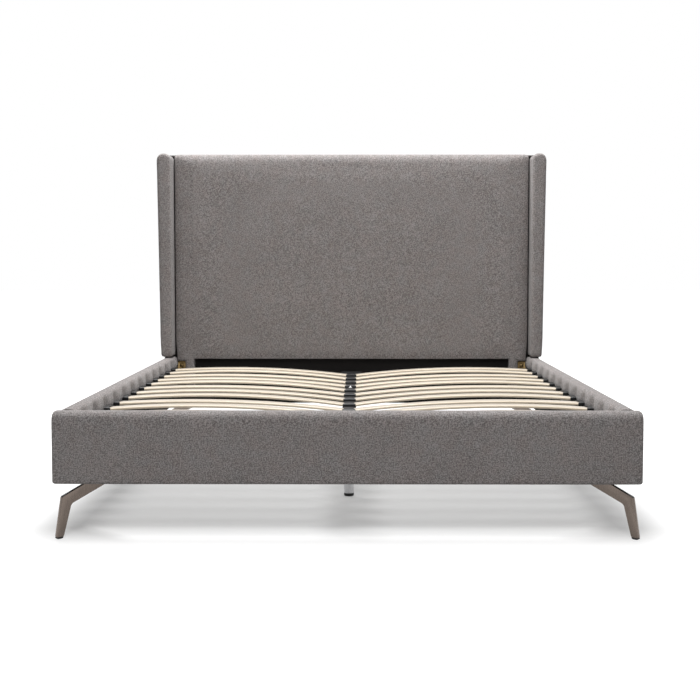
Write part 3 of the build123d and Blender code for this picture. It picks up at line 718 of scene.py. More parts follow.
def row_tree():
    """Repeats a unit in a row, its crown sprung up or down by chance, and mirrors the row to the other
    side of the bed where asked."""
    name = "Row of pieces"
    if name in bpy.data.node_groups:
        return bpy.data.node_groups[name]
    tree, given = new_tree(name, {
        "Unit": "Object", "Count": "Int", "Start": "Vector", "Step": "Vector", "Spring": "Float",
        "Reach": "Float", "Seed": "Int", "Both sides": "Bool", "Material": "Material"})
    places = put(tree, "GeometryNodeMeshLine", {"mode": "OFFSET"}, Count=given["Count"],
                 Start_Location=given["Start"], Offset=given["Step"])[0]
    lift = put(tree, "FunctionNodeRandomValue", {"data_type": "FLOAT"},
               _2=times(tree, given["Spring"], -1.0), _3=given["Spring"], Seed=given["Seed"])[1]
    places = put(tree, "GeometryNodeStoreNamedAttribute", {"data_type": "FLOAT", "domain": "POINT"},
                 Geometry=places, Name="lift", Value=lift)[0]
    unit = put(tree, "GeometryNodeObjectInfo", Object=given["Unit"])["Geometry"]
    row = put(tree, "GeometryNodeInstanceOnPoints", Points=places, Instance=unit)[0]
    row = put(tree, "GeometryNodeRealizeInstances", _0=row)[0]
    along = parts_of(tree, put(tree, "GeometryNodeInputPosition")[0])[0]
    share = maths(tree, "DIVIDE", along, maths(tree, "MAXIMUM", given["Reach"], 0.001))
    arch = times(tree, times(tree, share, 4.0), maths(tree, "SUBTRACT", 1.0, share))
    own = put(tree, "GeometryNodeInputNamedAttribute", {"data_type": "FLOAT"}, Name="lift")[0]
    rise = put(tree, "ShaderNodeCombineXYZ", _2=times(tree, arch, own))[0]
    row = put(tree, "GeometryNodeSetPosition", Geometry=row, Offset=rise)[0]
    other = put(tree, "GeometryNodeTransform", Geometry=row, Scale=(-1, 1, 1))[0]
    other = put(tree, "GeometryNodeFlipFaces", Mesh=other)[0]
    chosen = put(tree, "GeometryNodeSwitch", {"input_type": "GEOMETRY"}, _0=given["Both sides"], _2=other)[0]
    both = tree.nodes.new("GeometryNodeJoinGeometry")
    for part in (chosen, row):
        tree.links.new(part, both.inputs[0])
    return close_tree(tree, both.outputs[0], given["Material"])


def fastener_tree():
    """Puts a unit on every point of a mesh, driven along the point's own direction and turned by chance."""
    name = "Fasteners on seats"
    if name in bpy.data.node_groups:
        return bpy.data.node_groups[name]
    tree, given = new_tree(name, {"Unit": "Object", "Seed": "Int", "Material": "Material"})
    drive = put(tree, "GeometryNodeInputNamedAttribute", {"data_type": "FLOAT_VECTOR"}, Name="drive")[0]
    aim = put(tree, "FunctionNodeAlignRotationToVector", {"axis": "Z"}, Vector=drive)[0]
    spin = put(tree, "FunctionNodeRandomValue", {"data_type": "FLOAT"}, _2=0.0, _3=math.tau,
               Seed=given["Seed"])[1]
    twist = put(tree, "FunctionNodeAxisAngleToRotation", Axis=(0, 0, 1), Angle=spin)[0]
    turned = put(tree, "FunctionNodeRotateRotation", {"rotation_space": "LOCAL"}, _0=aim, _1=twist)[0]
    unit = put(tree, "GeometryNodeObjectInfo", Object=given["Unit"])["Geometry"]
    placed = put(tree, "GeometryNodeInstanceOnPoints", Points=given["Geometry"], Instance=unit,
                 Rotation=turned)[0]
    return close_tree(tree, placed, given["Material"])


def grown(name, tree, start, unit, slot, nodes, values):
    """Runs a geometry tree that repeats a unit, and keeps its result as a plain piece."""
    piece = new_object(name, start)
    modifier = piece.modifiers.new("Repeat", "NODES")
    modifier.node_group = tree
    given = {"Unit": unit, "Material": finish(slot), **values}
    for item in tree.interface.items_tree:
        if item.in_out == "INPUT" and item.name in given:
            modifier[item.identifier] = given[item.name]
    settled(piece)
    bpy.data.objects.remove(unit)
    shaded(piece.data)
    fitted(piece, slot, nodes)


def row_of(name, unit, slot, nodes, values):
    """A piece for every slat, in one object."""
    grown(name, row_tree(), bpy.data.meshes.new(name), unit, slot, nodes,
          {"Count": SLAT_COUNT, "Start": (0, SLAT_FIRST, 0), "Step": (0, SLAT_PITCH, 0), **values})


def unit_part(node, name, least, most, width):
    """The first of a CAD node's like pieces, moved to the start of its row, with eased edges."""
    mesh = merged_copy(node, name)
    with editing(mesh) as work:
        outside = [vertex for vertex in work.verts
                   if any(not least[axis] <= vertex.co[axis] <= most[axis] for axis in range(3))]
        bmesh.ops.delete(work, geom=outside, context="VERTS")
        bmesh.ops.translate(work, vec=(0, -SLAT_FIRST, 0), verts=work.verts)
    return eased(name, mesh, width, 3, 50)


def bodies_of(node):
    """The points of each separate body of a CAD node."""
    work = bmesh.new()
    work.from_mesh(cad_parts[node].data)
    bmesh.ops.remove_doubles(work, verts=work.verts, dist=0.01 * MM)
    seen, bodies = set(), []
    for first in work.verts:
        if first in seen:
            continue
        seen.add(first)
        body, open_ends = [], [first]
        while open_ends:
            vertex = open_ends.pop()
            body.append(vertex.co.copy())
            for edge in vertex.link_edges:
                other = edge.other_vert(vertex)
                if other not in seen:
                    seen.add(other)
                    open_ends.append(other)
        bodies.append(body)
    work.free()
    return bodies


def seats_of(node):
    """Where each fastener of a CAD node sits and which way it drives."""
    seats = []
    for points in bodies_of(node):
        least, most = [Vector(pick(point[axis] for point in points) for axis in range(3))
                       for pick in (min, max)]
        size, centre = most - least, (least + most) / 2
        long = max(range(3), key=lambda axis: size[axis])
        across = [axis for axis in range(3) if axis != long]
        reach = 0.45 * min(size[axis] for axis in across)
        wide = [point[long] for point in points
                if math.hypot(*(point[axis] - centre[axis] for axis in across)) > reach]
        sign = 1 if sum(wide) / len(wide) < centre[long] else -1
        seat, drive = centre.copy(), Vector((0, 0, 0))
        seat[long] = sign * max(sign * place for place in wide)
        drive[long] = sign
        seats.append((seat, drive))
    return seats


def fasteners(name, node, unit, slot, seed):
    """Replaces a CAD node of fasteners with detailed ones on the same seats."""
    mesh = bpy.data.meshes.new(name)
    seats = seats_of(node)
    mesh.from_pydata([seat for seat, _ in seats], [], [])
    drives = mesh.attributes.new("drive", "FLOAT_VECTOR", "POINT")
    drives.data.foreach_set("vector", [part for _, drive in seats for part in drive])
    grown(name, fastener_tree(), mesh, unit, slot, [node], {"Seed": seed})


def turned_unit(name, steps, points=48):
    """A fastener turned round Z: each step is (height and radius in millimetres, sides)."""
    rings = []
    for height, radius, sides in steps:
        reach = radius * MM / math.cos(math.pi / sides)
        angles = [math.tau * part / sides for part in range(sides)]
        corners = [Vector((reach * math.cos(angle), reach * math.sin(angle), height * MM))
                   for angle in angles]
        ring = []
        for part in range(points):
            place = part * sides / points
            before = int(place)
            ring.append(corners[before].lerp(corners[(before + 1) % sides], place - before))
        rings.append(ring)
    return new_object(name, ring_loft(name, rings, 1))


# Headboard
def grid_places(marks, step, soft):
    """Places between marks at an even step, closer together beside the soft marks."""
    close = (1.2 * MM, 3.6 * MM, 8 * MM, 14 * MM, 21 * MM, 29 * MM)
    places = set()
    for one, two in zip(marks, marks[1:]):
        parts = max(1, round((two - one) / step))
        places.update(round(one + (two - one) * index / parts, 6) for index in range(parts + 1))
    for mark, direction in soft:
        places = {place for place in places
                  if not 0.05 * MM < (place - mark) * direction < close[-1] + 0.5 * step or place in marks}
        places.update(round(mark + direction * part, 6) for part in close)
    return sorted(places)


def rim(distance, radius):
    """How far a face drops back at a distance from its rounded rim."""
    share = max(0.0, 1 - distance / radius)
    return radius * (1 - math.sqrt(max(0.0, 1 - share * share)))


def cushion_grid(name):
    """The cushion's mesh: an even grid in front and behind, the shape of an upside-down U."""
    least, most = low("headboard_cushion"), high("headboard_cushion")
    leg_inner, leg_outer = most.x - 76 * MM, most.x - 37 * MM
    recess_top, notch_top = 354 * MM, 344 * MM
    step = 1.4 * settings().cloth.mesh_step
    half = grid_places([0, leg_inner, leg_outer, most.x], step, [(most.x, -1), (leg_inner, 1)])
    xs = [-place for place in reversed(half[1:])] + half
    zs = grid_places([least.z, notch_top, recess_top, most.z], step, [(most.z, -1), (recess_top, 1)])
    side_reach, side_drop, top_reach, top_drop = 62 * MM, 21 * MM, 42 * MM, 26 * MM
    corner, fullness, side_fill, squareness = 12 * MM, 6 * MM, 5 * MM, 6

    def front(x, z):
        """Depth of the face at a place."""
        a = max(0.0, 1 - (most.x - abs(x)) / side_reach)
        b = max(0.0, 1 - (most.z - z) / top_reach)
        edge = min(1.0, (a ** squareness + b ** squareness) ** (1 / squareness))
        deep = (side_drop * a + top_drop * b) / max(a + b, 1e-9)
        drop = deep * (1 - math.sqrt(1 - edge * edge))
        if abs(x) <= leg_inner + 1e-6:
            drop = max(drop, rim(z - recess_top, 4 * MM))
        elif z < recess_top:
            drop = max(drop, rim(abs(x) - leg_inner, 7 * MM),
                       rim(leg_outer - abs(x), 5 * MM) if z < notch_top else 0.0)
        swell = fullness * (1 - (x / most.x) ** 4) * (1 - ((z - 0.8) / 0.45) ** 4 if z > 0.8 else 1)
        return min(least.y + fullness - swell + drop, FACE_FRONT - 8 * MM)

    def placed(x, z):
        """Fills the sides out towards the wings and rounds the two upper corners a little."""
        x *= 1 + side_fill / most.x * (x / most.x) ** 12 * max(0.0, min(1.0, (z - 0.37) / 0.06))
        a, b = abs(x) - (most.x - corner), z - (most.z - corner)
        if a > 0 and b > 0:
            scale = max(a, b) / math.hypot(a, b)
            return math.copysign(most.x - corner + a * scale, x), most.z - corner + b * scale
        return x, z

    work = bmesh.new()
    pairs = {}
    for index, x in enumerate(xs):
        for level, z in enumerate(zs):
            across, up = placed(x, z)
            pairs[index, level] = [work.verts.new((across, depth, up))
                                   for depth in (front(x, z), FACE_FRONT)]
    for index in range(len(xs) - 1):
        for level in range(len(zs) - 1):
            x, z = abs(xs[index] + xs[index + 1]) / 2, (zs[level] + zs[level + 1]) / 2
            if (x < leg_inner and z < recess_top) or (x > leg_outer and z < notch_top):
                continue
            ring = [pairs[index, level], pairs[index + 1, level], pairs[index + 1, level + 1],
                    pairs[index, level + 1]]
            work.faces.new([pair[0] for pair in ring])
            work.faces.new([pair[1] for pair in reversed(ring)])

    def forward(edge):
        """Whether each end of an edge lies on the front grid."""
        return [vertex.co.y < FACE_FRONT - MM for vertex in edge.verts]

    partner = {before: behind for before, behind in pairs.values()}
    for edge in [edge for edge in work.edges if edge.is_boundary and all(forward(edge))]:
        one, two = edge.verts
        work.faces.new((one, two, partner[two], partner[one]))
    bmesh.ops.delete(work, geom=[vertex for vertex in work.verts if not vertex.link_faces], context="VERTS")
    sides = [edge for edge in work.edges if any(forward(edge)) and not all(forward(edge))]
    bmesh.ops.subdivide_edges(work, edges=sides, cuts=2)
    return mesh_from(name, work)


def cushion_piece():
    """The headboard cushion, an upside-down U with a full face and soft edges."""
    name = "headboard_cushion_cloth"
    piece = new_object(name, cushion_grid(name))
    back, foot = FACE_FRONT - 12 * MM, 368 * MM
    upholstered(piece, "headboard_cushion", lambda place, normal: 1.0 if place.y > back or place.z < foot
                or abs(normal.x) > 0.8 else 0.0, settings().cloth.swell)


def wing_piece(side):
    """A padded wing, fuller at its domed top than at its foot."""
    node = "wing_pad_right" if side > 0 else "wing_pad_left"
    least, most = low("wing_pad_right"), high("wing_pad_right")
    inner, front_radius = least.x + 6.5 * MM, 13 * MM
    corners = [(inner, least.z, 5 * MM), (RAIL_OUTER, least.z, 8 * MM),
               (most.x, most.z, 27 * MM), (inner, most.z, 26 * MM)]
    stations = rounded_end(least.y, front_radius, 5) + even_run(
        least.y + front_radius, most.y - least.y - front_radius, 11)
    mesh = drawn_bar(node + "_cloth", corners, 9 * MM, stations, 2)
    if side < 0:
        mirror_mesh(mesh)
    piece = new_object(node + "_cloth", mesh)
    modified(piece, "Even grid", "REMESH", mode="VOXEL", voxel_size=5 * MM)
    modified(piece, "Relax", "SMOOTH", factor=0.5, iterations=2)
    upholstered(piece, node, lambda place, normal: 1.0 if place.y > FACE_FRONT - 5 * MM
                or side * normal.x < -0.6 or normal.z < -0.6 else 0.0, 0.5 * settings().cloth.swell)


def back_cover_piece():
    """The cloth tray that wraps the back, sides and top of the headboard."""
    name = "headboard_outer_cloth"
    least, most = low("headboard_outer_cover"), high("headboard_outer_cover")
    skin, rolled = 4 * MM, 8 * MM
    corners = [(-RAIL_OUTER, least.z, 2 * MM), (RAIL_OUTER, least.z, 2 * MM),
               (most.x, most.z, 24 * MM), (-most.x, most.z, 24 * MM)]
    stations = [(most.y - skin, skin), (least.y, skin), (least.y, 0.0), (most.y - rolled, 0.0),
                (most.y - 0.3 * rolled, 0.3 * rolled), (most.y, rolled)]
    piece = new_object(name, shaded(drawn_bar(name, corners, 30 * MM, stations, 6), 50))
    fitted(piece, "upholstery", ["headboard_outer_cover"])

    def hidden(place, normal):
        """True on the inner side of the tray."""
        inward = place.x * normal.x + (place.z - (least.z + most.z) / 2) * normal.z < 0
        return (normal.y < -0.5 and place.y > least.y + 2 * skin) or (abs(normal.y) <= 0.5 and inward)

    # Painted shade: the tray's inner faces take the black lining so that they stay dark where shade falls.
    line_inside_as_shade(piece, hidden)


def recess_lining():
    """The black panel under the cushion; the face board behind the cushion is dressed black too, both as a
    black cover and as painted shade in the gaps beside the cushion.
    """
    node = "headboard_recess_panel"
    fitted(eased_piece(node, "recess_lining", 0.4 * MM), "lining", [node])
    # Partly painted shade: the face board goes black so that the gaps beside the cushion stay dark.
    dress_node("headboard_face_board", "lining")


# Rails, footboard and corner blocks
def rail_lobes(place, normal):
    """Lets the inner face swell between the holders of the right-hand rail and pulls it in beside them."""
    if normal.x > -0.25:
        return place
    row = round((place.y - SLAT_FIRST) / SLAT_PITCH)
    beside = 0.0
    if 0 <= row < SLAT_COUNT:
        beside = near_one(place.y - SLAT_FIRST - row * SLAT_PITCH, 0.36 * SLAT_PITCH)
    foot = 310 * MM
    height = (place.z - foot) / (RAIL_TOP - foot)
    share = max(0.0, min(1.0, height * 12)) * max(0.0, min(1.0, (1.05 - height) * 1.7))
    return place + Vector((-1, 0, 0)) * share * (7.5 * MM * (1 - beside) - 2.5 * MM * beside)


def rail_piece(side):
    """A padded side rail, its inner face pressed in by the slat holders."""
    node = "side_rail_cover_right" if side > 0 else "side_rail_cover_left"
    corners = [(RAIL_INNER, UNDERSIDE, 5 * MM), (RAIL_OUTER, UNDERSIDE, 5 * MM),
               (RAIL_OUTER, RAIL_TOP, 22 * MM), (RAIL_INNER, RAIL_TOP, 10 * MM)]
    step = settings().cloth.mesh_step
    mesh = drawn_bar(node + "_cloth", corners, step, soft_ends(FOOT_INNER, FACE_FRONT, 4 * MM, step), 4)
    mesh.update()
    each_point(mesh, rail_lobes)
    if side < 0:
        mirror_mesh(mesh)
    piece = new_object(node + "_cloth", mesh)
    upholstered(piece, node, lambda place, normal: 1.0 if normal.z < -0.3 or abs(normal.y) > 0.5
                or side * normal.x < -0.4 else 0.0, 0.5 * settings().cloth.swell)
    # Painted shade: the inner face below the ledges takes the black lining, dark like the shade under the
    # slats.
    line_inside_as_shade(piece, lambda place, normal: side * normal.x < -0.7 and place.z < LEDGE_LEVEL)


def footboard_piece():
    """The padded footboard, crowned in front and rounded at its ends."""
    name, step = "footboard_cover_cloth", settings().cloth.mesh_step
    least, most = low("footboard_cover"), high("footboard_cover")
    corners = [(least.y, least.z, 7 * MM), (most.y, least.z, 7 * MM),
               (most.y, most.z, 12 * MM), (least.y, most.z, 28 * MM)]
    stations = soft_ends(least.x, most.x, 9 * MM, step)
    piece = new_object(name, drawn_bar(name, corners, step, stations, 4, along_x=True))
    upholstered(piece, "footboard_cover", lambda place, normal: 1.0 if normal.z < -0.3 or normal.y > 0.5
                else 0.0, 0.5 * settings().cloth.swell)
    # Painted shade: the inner face below the ledges takes the black lining, dark like the shade inside the
    # bed.
    line_inside_as_shade(piece, lambda place, normal: normal.y > 0.7 and place.z < LEDGE_LEVEL)


def corner_block_lining():
    """A black sheet round the two rear corner blocks, as painted shade, so that the gaps between the slats
    stay dark.
    """
    thick, most = 1.2 * MM, high("corner_blocks")
    mesh = merged_copy("corner_blocks", "corner_block_lining")
    with editing(mesh) as work:
        bmesh.ops.delete(work, geom=[vertex for vertex in work.verts if vertex.co.y < 0], context="VERTS")
        for vertex in work.verts:
            x, y, z = vertex.co
            vertex.co = (x - math.copysign(thick, x) if abs(x) < most.x - thick else x,
                         y - thick if y < most.y - thick else y, z + thick if z > most.z - thick else z)
    fitted(new_object("corner_block_lining", shaded(mesh)), "lining", [])


# Slats and holders
def mark_plies(mesh, bin_width=4 * MM):
    """Stores how high each point lies in its slat's thickness, from -1 below to 1 above."""
    spans = {}
    for vertex in mesh.vertices:
        spans.setdefault(round(vertex.co.x / bin_width), []).append(vertex.co.z)
    ends = {key: (min(span), max(span)) for key, span in spans.items()}
    heights = []
    for vertex in mesh.vertices:
        lowest, highest = ends[round(vertex.co.x / bin_width)]
        heights.append(2 * (vertex.co.z - lowest) / max(highest - lowest, 1e-6) - 1)
    mesh.attributes.new("ply", "FLOAT", "POINT").data.foreach_set("value", heights)


def slat_pieces():
    """Twenty-four bowed slats with rounded long edges."""
    node, beyond = "slat_right_01", Vector((1, 1, 1))
    unit = unit_part(node, "slat_unit", low(node) - beyond, high(node) + beyond,
                     settings().timber.edge_radius)
    mark_plies(unit.data)
    nodes = [f"slat_{side}_{index:02d}" for side in ("left", "right") for index in range(1, SLAT_COUNT + 1)]
    row_of("birch_slats", unit, "birch", nodes,
           {"Spring": 2.6 * MM, "Reach": high(node).x, "Seed": 3131, "Both sides": True})


def hollow_mouth(mesh, edge, place, inward, one_side, depth=7 * MM):
    """Curves the mouths of a holder inwards, so that the slat's end shows as a round tip."""
    with editing(mesh) as work:
        sliced(work, [part / 5 * edge for part in range(-4, 5)], Vector((0, 1, 0)))
        for vertex in work.verts:
            x = vertex.co.x if one_side else abs(vertex.co.x)
            curve = max(0.0, 1 - (vertex.co.y / (0.9 * edge)) ** 2)
            sign = 1 if one_side or vertex.co.x > 0 else -1
            vertex.co.x += sign * inward * depth * near_one(x - place, 1.6 * depth) * curve


def holder_pieces():
    """Moulded caps on the outer ends of the slats and double caps over the centre rail."""
    reach, cap_mouth = SLAT_PITCH / 2, 24 * MM
    for node, both in (("side_slat_holders", True), ("centre_slat_holders", False)):
        least, most = low(node), high(node)
        first = Vector((0 if both else least.x - MM, SLAT_FIRST - reach, least.z - MM))
        last = Vector((most.x + MM, SLAT_FIRST + reach, most.z + MM))
        unit = unit_part(node, node + "_unit", first, last, 0.7 * MM)
        mouth = (most.x - cap_mouth, 1) if both else (most.x, -1)
        hollow_mouth(unit.data, least.y - SLAT_FIRST, *mouth, both)
        row_of(node + "_moulded", unit, "black_plastic", [node],
               {"Spring": 0.0, "Reach": 1.0, "Seed": 0, "Both sides": both})


# Metalwork, legs and fasteners
METALWORK = {
    "corner_brackets": ("yellow_zinc", 0.5), "slat_ledges": ("black_steel", 0.5),
    "centre_rail": ("black_steel", 0.5), "centre_rail_brackets": ("black_steel", 0.5),
}
LEGWORK = {
    "corner_legs_front": ("bronze_steel", 1.2), "corner_legs_rear": ("bronze_steel", 1.2),
    "leg_glides": ("black_plastic", 2.2), "centre_leg_front": ("satin_steel", 0.4),
    "centre_leg_rear": ("satin_steel", 0.4), "centre_leg_nuts": ("bright_steel", 0.4),
    "levelling_pad_front": ("black_plastic", 0.6, "levelling_pad_front"),
    "levelling_pad_rear": ("black_plastic", 0.6, "levelling_pad_rear"),
    "levelling_screw_front": ("bright_steel", 0.3, "levelling_screw_front"),
    "levelling_screw_rear": ("bright_steel", 0.3, "levelling_screw_rear"),
}
TIMBERS = ["corner_blocks", "headboard_posts", "headboard_cross_rails", "footboard_board",
           "side_rail_board_left", "side_rail_board_right", "wing_board_left", "wing_board_right"]


def rounded_toes(mesh, height=12 * MM, draw=0.85):
    """Rounds the lower ends of the corner legs and their shoes down to the floor."""
    with editing(mesh) as work:
        sliced(work, [share * height for share in (0.1, 0.2, 0.35, 0.5, 0.65, 0.8, 1.0)], Vector((0, 0, 1)))
        for across, along in ((-1, -1), (1, -1), (-1, 1), (1, 1)):
            toe = [vertex for vertex in work.verts
                   if vertex.co.z < height and vertex.co.x * across > 0 and vertex.co.y * along > 0]
            if not toe:
                continue
            ends = [[pick(vertex.co[axis] for vertex in toe) for pick in (min, max)] for axis in range(2)]
            centre = Vector([sum(pair) / 2 for pair in ends])
            for vertex in toe:
                scale = math.sqrt(1 - (draw * (1 - vertex.co.z / height)) ** 2)
                vertex.co.xy = centre + (vertex.co.xy - centre) * scale


def rigid_pieces(pieces):
    """Metal and plastic pieces with eased edges, from their slots, shares of the edge width and bodies."""
    for node, (slot, share, *body) in pieces.items():
        piece = eased_piece(node, node + "_eased", share * settings().metal.edge_width)
        if node == "leg_glides":
            each_point(piece.data, lambda place, normal: Vector(
                (*place.xy, min(place.z, 4 * MM + place.z / 8))))
        if node in ("leg_glides", "corner_legs_front", "corner_legs_rear"):
            rounded_toes(piece.data)
        fitted(piece, slot, [node], *body)


def bolt_pieces():
    """Hexagon bolts with washers in the corner brackets, and the wood screws."""
    bolt = turned_unit("bolt_unit", [(-5.3, 5.6, 6), (-4.7, 6.5, 6), (-1.2, 6.5, 6), (-1.2, 8.4, 24),
                                     (-0.01, 8.4, 24), (-0.01, 3.9, 6), (28, 3.9, 6)])
    fasteners("bracket_bolts_hex", "bracket_bolts", bolt, "yellow_zinc", 3)
    for node, length in (("leg_screws", 32), ("ledge_screws", 20)):
        screw = turned_unit(node + "_unit", [(-3.0, 3.4, 6), (-2.5, 4.0, 6), (-0.01, 4.0, 6),
                                             (-0.01, 2.4, 6), (length, 2.4, 6)])
        fasteners(node + "_hex", node, screw, "bright_steel", 5)


# Stage
FLOOR_REACH = 30
CAMERA_PLACE, CAMERA_ROLL, SENSOR_WIDTH = (0.0339, -4.753, 0.7789), 0.007, 36


def seen_ray(tree):
    """1 for rays that show the background itself or its mirror image."""
    ray = put(tree, "ShaderNodeLightPath")
    return maths(tree, "MAXIMUM", ray["Is Camera Ray"],
                 maths(tree, "MAXIMUM", ray["Is Glossy Ray"], ray["Is Transmission Ray"]))


def white_world(strength):
    """A pale sky that lights the bed and looks white behind it."""
    world = bpy.data.worlds.new("Studio")
    world.use_nodes = True
    tree = world.node_tree
    background = tree.nodes["Background"]
    tree.links.new(mixed(tree, seen_ray(tree), strength, 1.0), background.inputs["Strength"])
    background.inputs["Color"].default_value = (1, 1, 1, 1)
    bpy.context.scene.world = world


def floor_material(colour, side_margin=0.04, end_margin=0.20, near_reach=0.24, far_reach=2.5):
    """Matt studio floor that fades to the white background away from the bed; the emission that the camera
    sees is dimmed over the bed's footprint as a painted shadow.
    """
    material = bpy.data.materials.new("Studio floor")
    material.use_nodes = True
    tree = material.node_tree
    vectors = {"kind": "ShaderNodeVectorMath"}
    place = maths(tree, "ABSOLUTE", put(tree, "ShaderNodeTexCoord")["Object"], **vectors)
    painted_shadow_box = (CAD_BOX[1][0] - side_margin, CAD_BOX[1][1] - end_margin, 0)
    beyond = maths(tree, "SUBTRACT", place, painted_shadow_box, **vectors)
    beyond = maths(tree, "MAXIMUM", beyond, (0, 0, 0), **vectors)
    away = put(tree, "ShaderNodeVectorMath", {"operation": "LENGTH"}, _0=beyond)["Value"]
    near, far = spread(tree, away, 0.0, near_reach), spread(tree, away, near_reach, far_reach)
    # Painted shadow: the emission is dim over the bed's footprint and rises just beyond it.
    glow_with_painted_shadow = mixed(tree, near, (0.20, 0.20, 0.20, 1), (0.80, 0.80, 0.80, 1), "RGBA")
    glow_with_painted_shadow = mixed(tree, far, glow_with_painted_shadow, (1, 1, 1, 1), "RGBA")
    glow_with_painted_shadow = mixed(tree, seen_ray(tree), (0, 0, 0, 1), glow_with_painted_shadow, "RGBA")
    for key, value in {"Base Color": colour, "Roughness": 0.9, "Specular IOR Level": 0.1,
                       "Emission Color": glow_with_painted_shadow, "Emission Strength": 1.0}.items():
        fill_socket(tree, tree.nodes["Principled BSDF"].inputs[key], value)
    return material


def lamp(name, place, aim, width, depth, power):
    """A large soft lamp."""
    data = bpy.data.lights.new(name, "AREA")
    data.shape = "RECTANGLE"
    data.energy, data.size, data.size_y = power, width, depth
    made = new_object(name, data)
    made.location = place
    made.rotation_euler = (Vector(aim) - Vector(place)).to_track_quat("-Z", "Y").to_euler()


def build_stage():
    """Floor, light and camera."""
    stage = settings().stage
    mesh = bpy.data.meshes.new("studio_floor")
    mesh.from_pydata([(across * FLOOR_REACH, along * FLOOR_REACH, 0)
                      for across, along in ((-1, -1), (1, -1), (1, 1), (-1, 1))], [], [(0, 1, 2, 3)])
    floor = new_object("studio_floor", mesh)
    floor.data.materials.append(floor_material(stage.floor_colour))
    white_world(stage.daylight)
    lamp("overhead", (-0.2, 0.7, 4.0), (-0.1, 0.6, 0.3), 1.5, 3.2, stage.key_power)
    lamp("front", (-0.25, -4.6, 3.1), (0, 0.4, 0.6), 1.4, 1.8, stage.front_power)
    camera = new_object("camera", bpy.data.cameras.new("camera"))
    camera.data.lens, camera.data.sensor_width = stage.lens, SENSOR_WIDTH
    camera.location = CAMERA_PLACE
    camera.rotation_euler = (math.pi / 2 - stage.pitch, 0, CAMERA_ROLL)
    bpy.context.scene.camera = camera
    bpy.context.scene.view_settings.view_transform = "Standard"


# Operators
class Undoable:
    """Lets the sidebar's buttons be undone."""
    bl_options = {"REGISTER", "UNDO"}


class BED_OT_stage(Undoable, bpy.types.Operator):
    """Set up the floor, the light and the camera"""
    bl_idname = "bed.stage"
    bl_label = "Stage"

    def execute(self, context):
        build_stage()
        return {"FINISHED"}


class BED_OT_cushion(Undoable, bpy.types.Operator):
    """Make the padded headboard cushion"""
    bl_idname = "bed.cushion"
    bl_label = "Headboard cushion"

    def execute(self, context):
        cushion_piece()
        return {"FINISHED"}


class BED_OT_wings(Undoable, bpy.types.Operator):
    """Make the two padded wings"""
    bl_idname = "bed.wings"
    bl_label = "Wings"

    def execute(self, context):
        for side in (1, -1):
            wing_piece(side)
        return {"FINISHED"}


class BED_OT_rails(Undoable, bpy.types.Operator):
    """Make the two padded side rails"""
    bl_idname = "bed.rails"
    bl_label = "Side rails"

    def execute(self, context):
        for side in (1, -1):
            rail_piece(side)
        return {"FINISHED"}


class BED_OT_footboard(Undoable, bpy.types.Operator):
    """Make the padded footboard"""
    bl_idname = "bed.footboard"
    bl_label = "Footboard"

    def execute(self, context):
        footboard_piece()
        return {"FINISHED"}


class BED_OT_back_cover(Undoable, bpy.types.Operator):
    """Make the cloth back of the headboard"""
    bl_idname = "bed.back_cover"
    bl_label = "Headboard back"

    def execute(self, context):
        back_cover_piece()
        return {"FINISHED"}


class BED_OT_recess(Undoable, bpy.types.Operator):
    """Line the recess under the headboard cushion, and wrap the rear corner blocks in black as painted shade
    """
    bl_idname = "bed.recess"
    bl_label = "Recess lining"

    def execute(self, context):
        recess_lining()
        corner_block_lining()
        return {"FINISHED"}


class BED_OT_slats(Undoable, bpy.types.Operator):
    """Lay the bowed slats"""
    bl_idname = "bed.slats"
    bl_label = "Slats"

    def execute(self, context):
        slat_pieces()
        return {"FINISHED"}


class BED_OT_holders(Undoable, bpy.types.Operator):
    """Put the moulded holders on the ends of the slats"""
    bl_idname = "bed.holders"
    bl_label = "Slat holders"

    def execute(self, context):
        holder_pieces()
        return {"FINISHED"}


class BED_OT_metalwork(Undoable, bpy.types.Operator):
    """Make the brackets, the ledges and the centre rail"""
    bl_idname = "bed.metalwork"
    bl_label = "Brackets and rail"

    def execute(self, context):
        rigid_pieces(METALWORK)
        return {"FINISHED"}


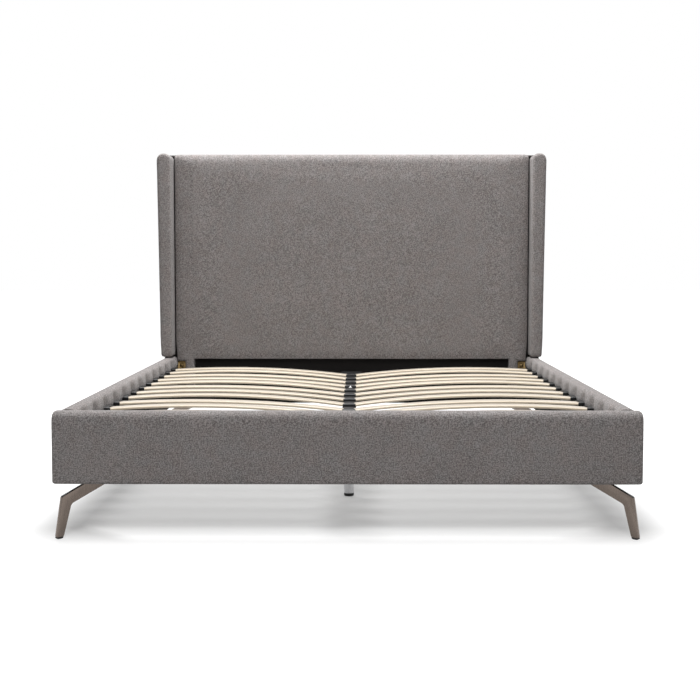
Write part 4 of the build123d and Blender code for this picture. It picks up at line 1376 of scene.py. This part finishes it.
class BED_OT_legs(Undoable, bpy.types.Operator):
    """Make the legs and their feet"""
    bl_idname = "bed.legs"
    bl_label = "Legs"

    def execute(self, context):
        rigid_pieces(LEGWORK)
        return {"FINISHED"}


class BED_OT_bolts(Undoable, bpy.types.Operator):
    """Drive the bolts and the screws"""
    bl_idname = "bed.bolts"
    bl_label = "Bolts and screws"

    def execute(self, context):
        bolt_pieces()
        return {"FINISHED"}


class BED_OT_timbers(Undoable, bpy.types.Operator):
    """Finish the boards and timbers inside"""
    bl_idname = "bed.timbers"
    bl_label = "Boards and timbers"

    def execute(self, context):
        for node in TIMBERS:
            dress_node(node, "timber")
        return {"FINISHED"}


OPERATORS = (BED_OT_stage, BED_OT_cushion, BED_OT_wings, BED_OT_rails, BED_OT_footboard, BED_OT_back_cover,
             BED_OT_recess, BED_OT_slats, BED_OT_holders, BED_OT_metalwork, BED_OT_legs, BED_OT_bolts,
             BED_OT_timbers)


class BED_PT_builder(bpy.types.Panel):
    """The bed's settings and the buttons that build it"""
    bl_idname = "BED_PT_builder"
    bl_label = "Bed"
    bl_space_type = "VIEW_3D"
    bl_region_type = "UI"
    bl_category = "Bed"

    def draw(self, context):
        for group in settings():
            box = self.layout.box()
            for name in group.__annotations__:
                box.prop(group, name)
        for operator in OPERATORS:
            self.layout.operator(operator.bl_idname)


GROUPS = {"bed_cloth": BedClothSettings, "bed_timber": BedTimberSettings, "bed_metal": BedMetalSettings,
          "bed_stage": BedStageSettings}


def register():
    """Registers the settings, the operators and the panel."""
    for name, group in GROUPS.items():
        bpy.utils.register_class(group)
        setattr(bpy.types.Scene, name, PointerProperty(type=group))
    for shown in (*OPERATORS, BED_PT_builder):
        bpy.utils.register_class(shown)


def unregister():
    """Takes them away again."""
    for shown in (BED_PT_builder, *reversed(OPERATORS)):
        bpy.utils.unregister_class(shown)
    for name, group in GROUPS.items():
        delattr(bpy.types.Scene, name)
        bpy.utils.unregister_class(group)


def main():
    """Builds every piece in order."""
    register()
    for operator in OPERATORS:
        group, name = operator.bl_idname.split(".")
        getattr(getattr(bpy.ops, group), name)()


if __name__ == "__main__":
    main()
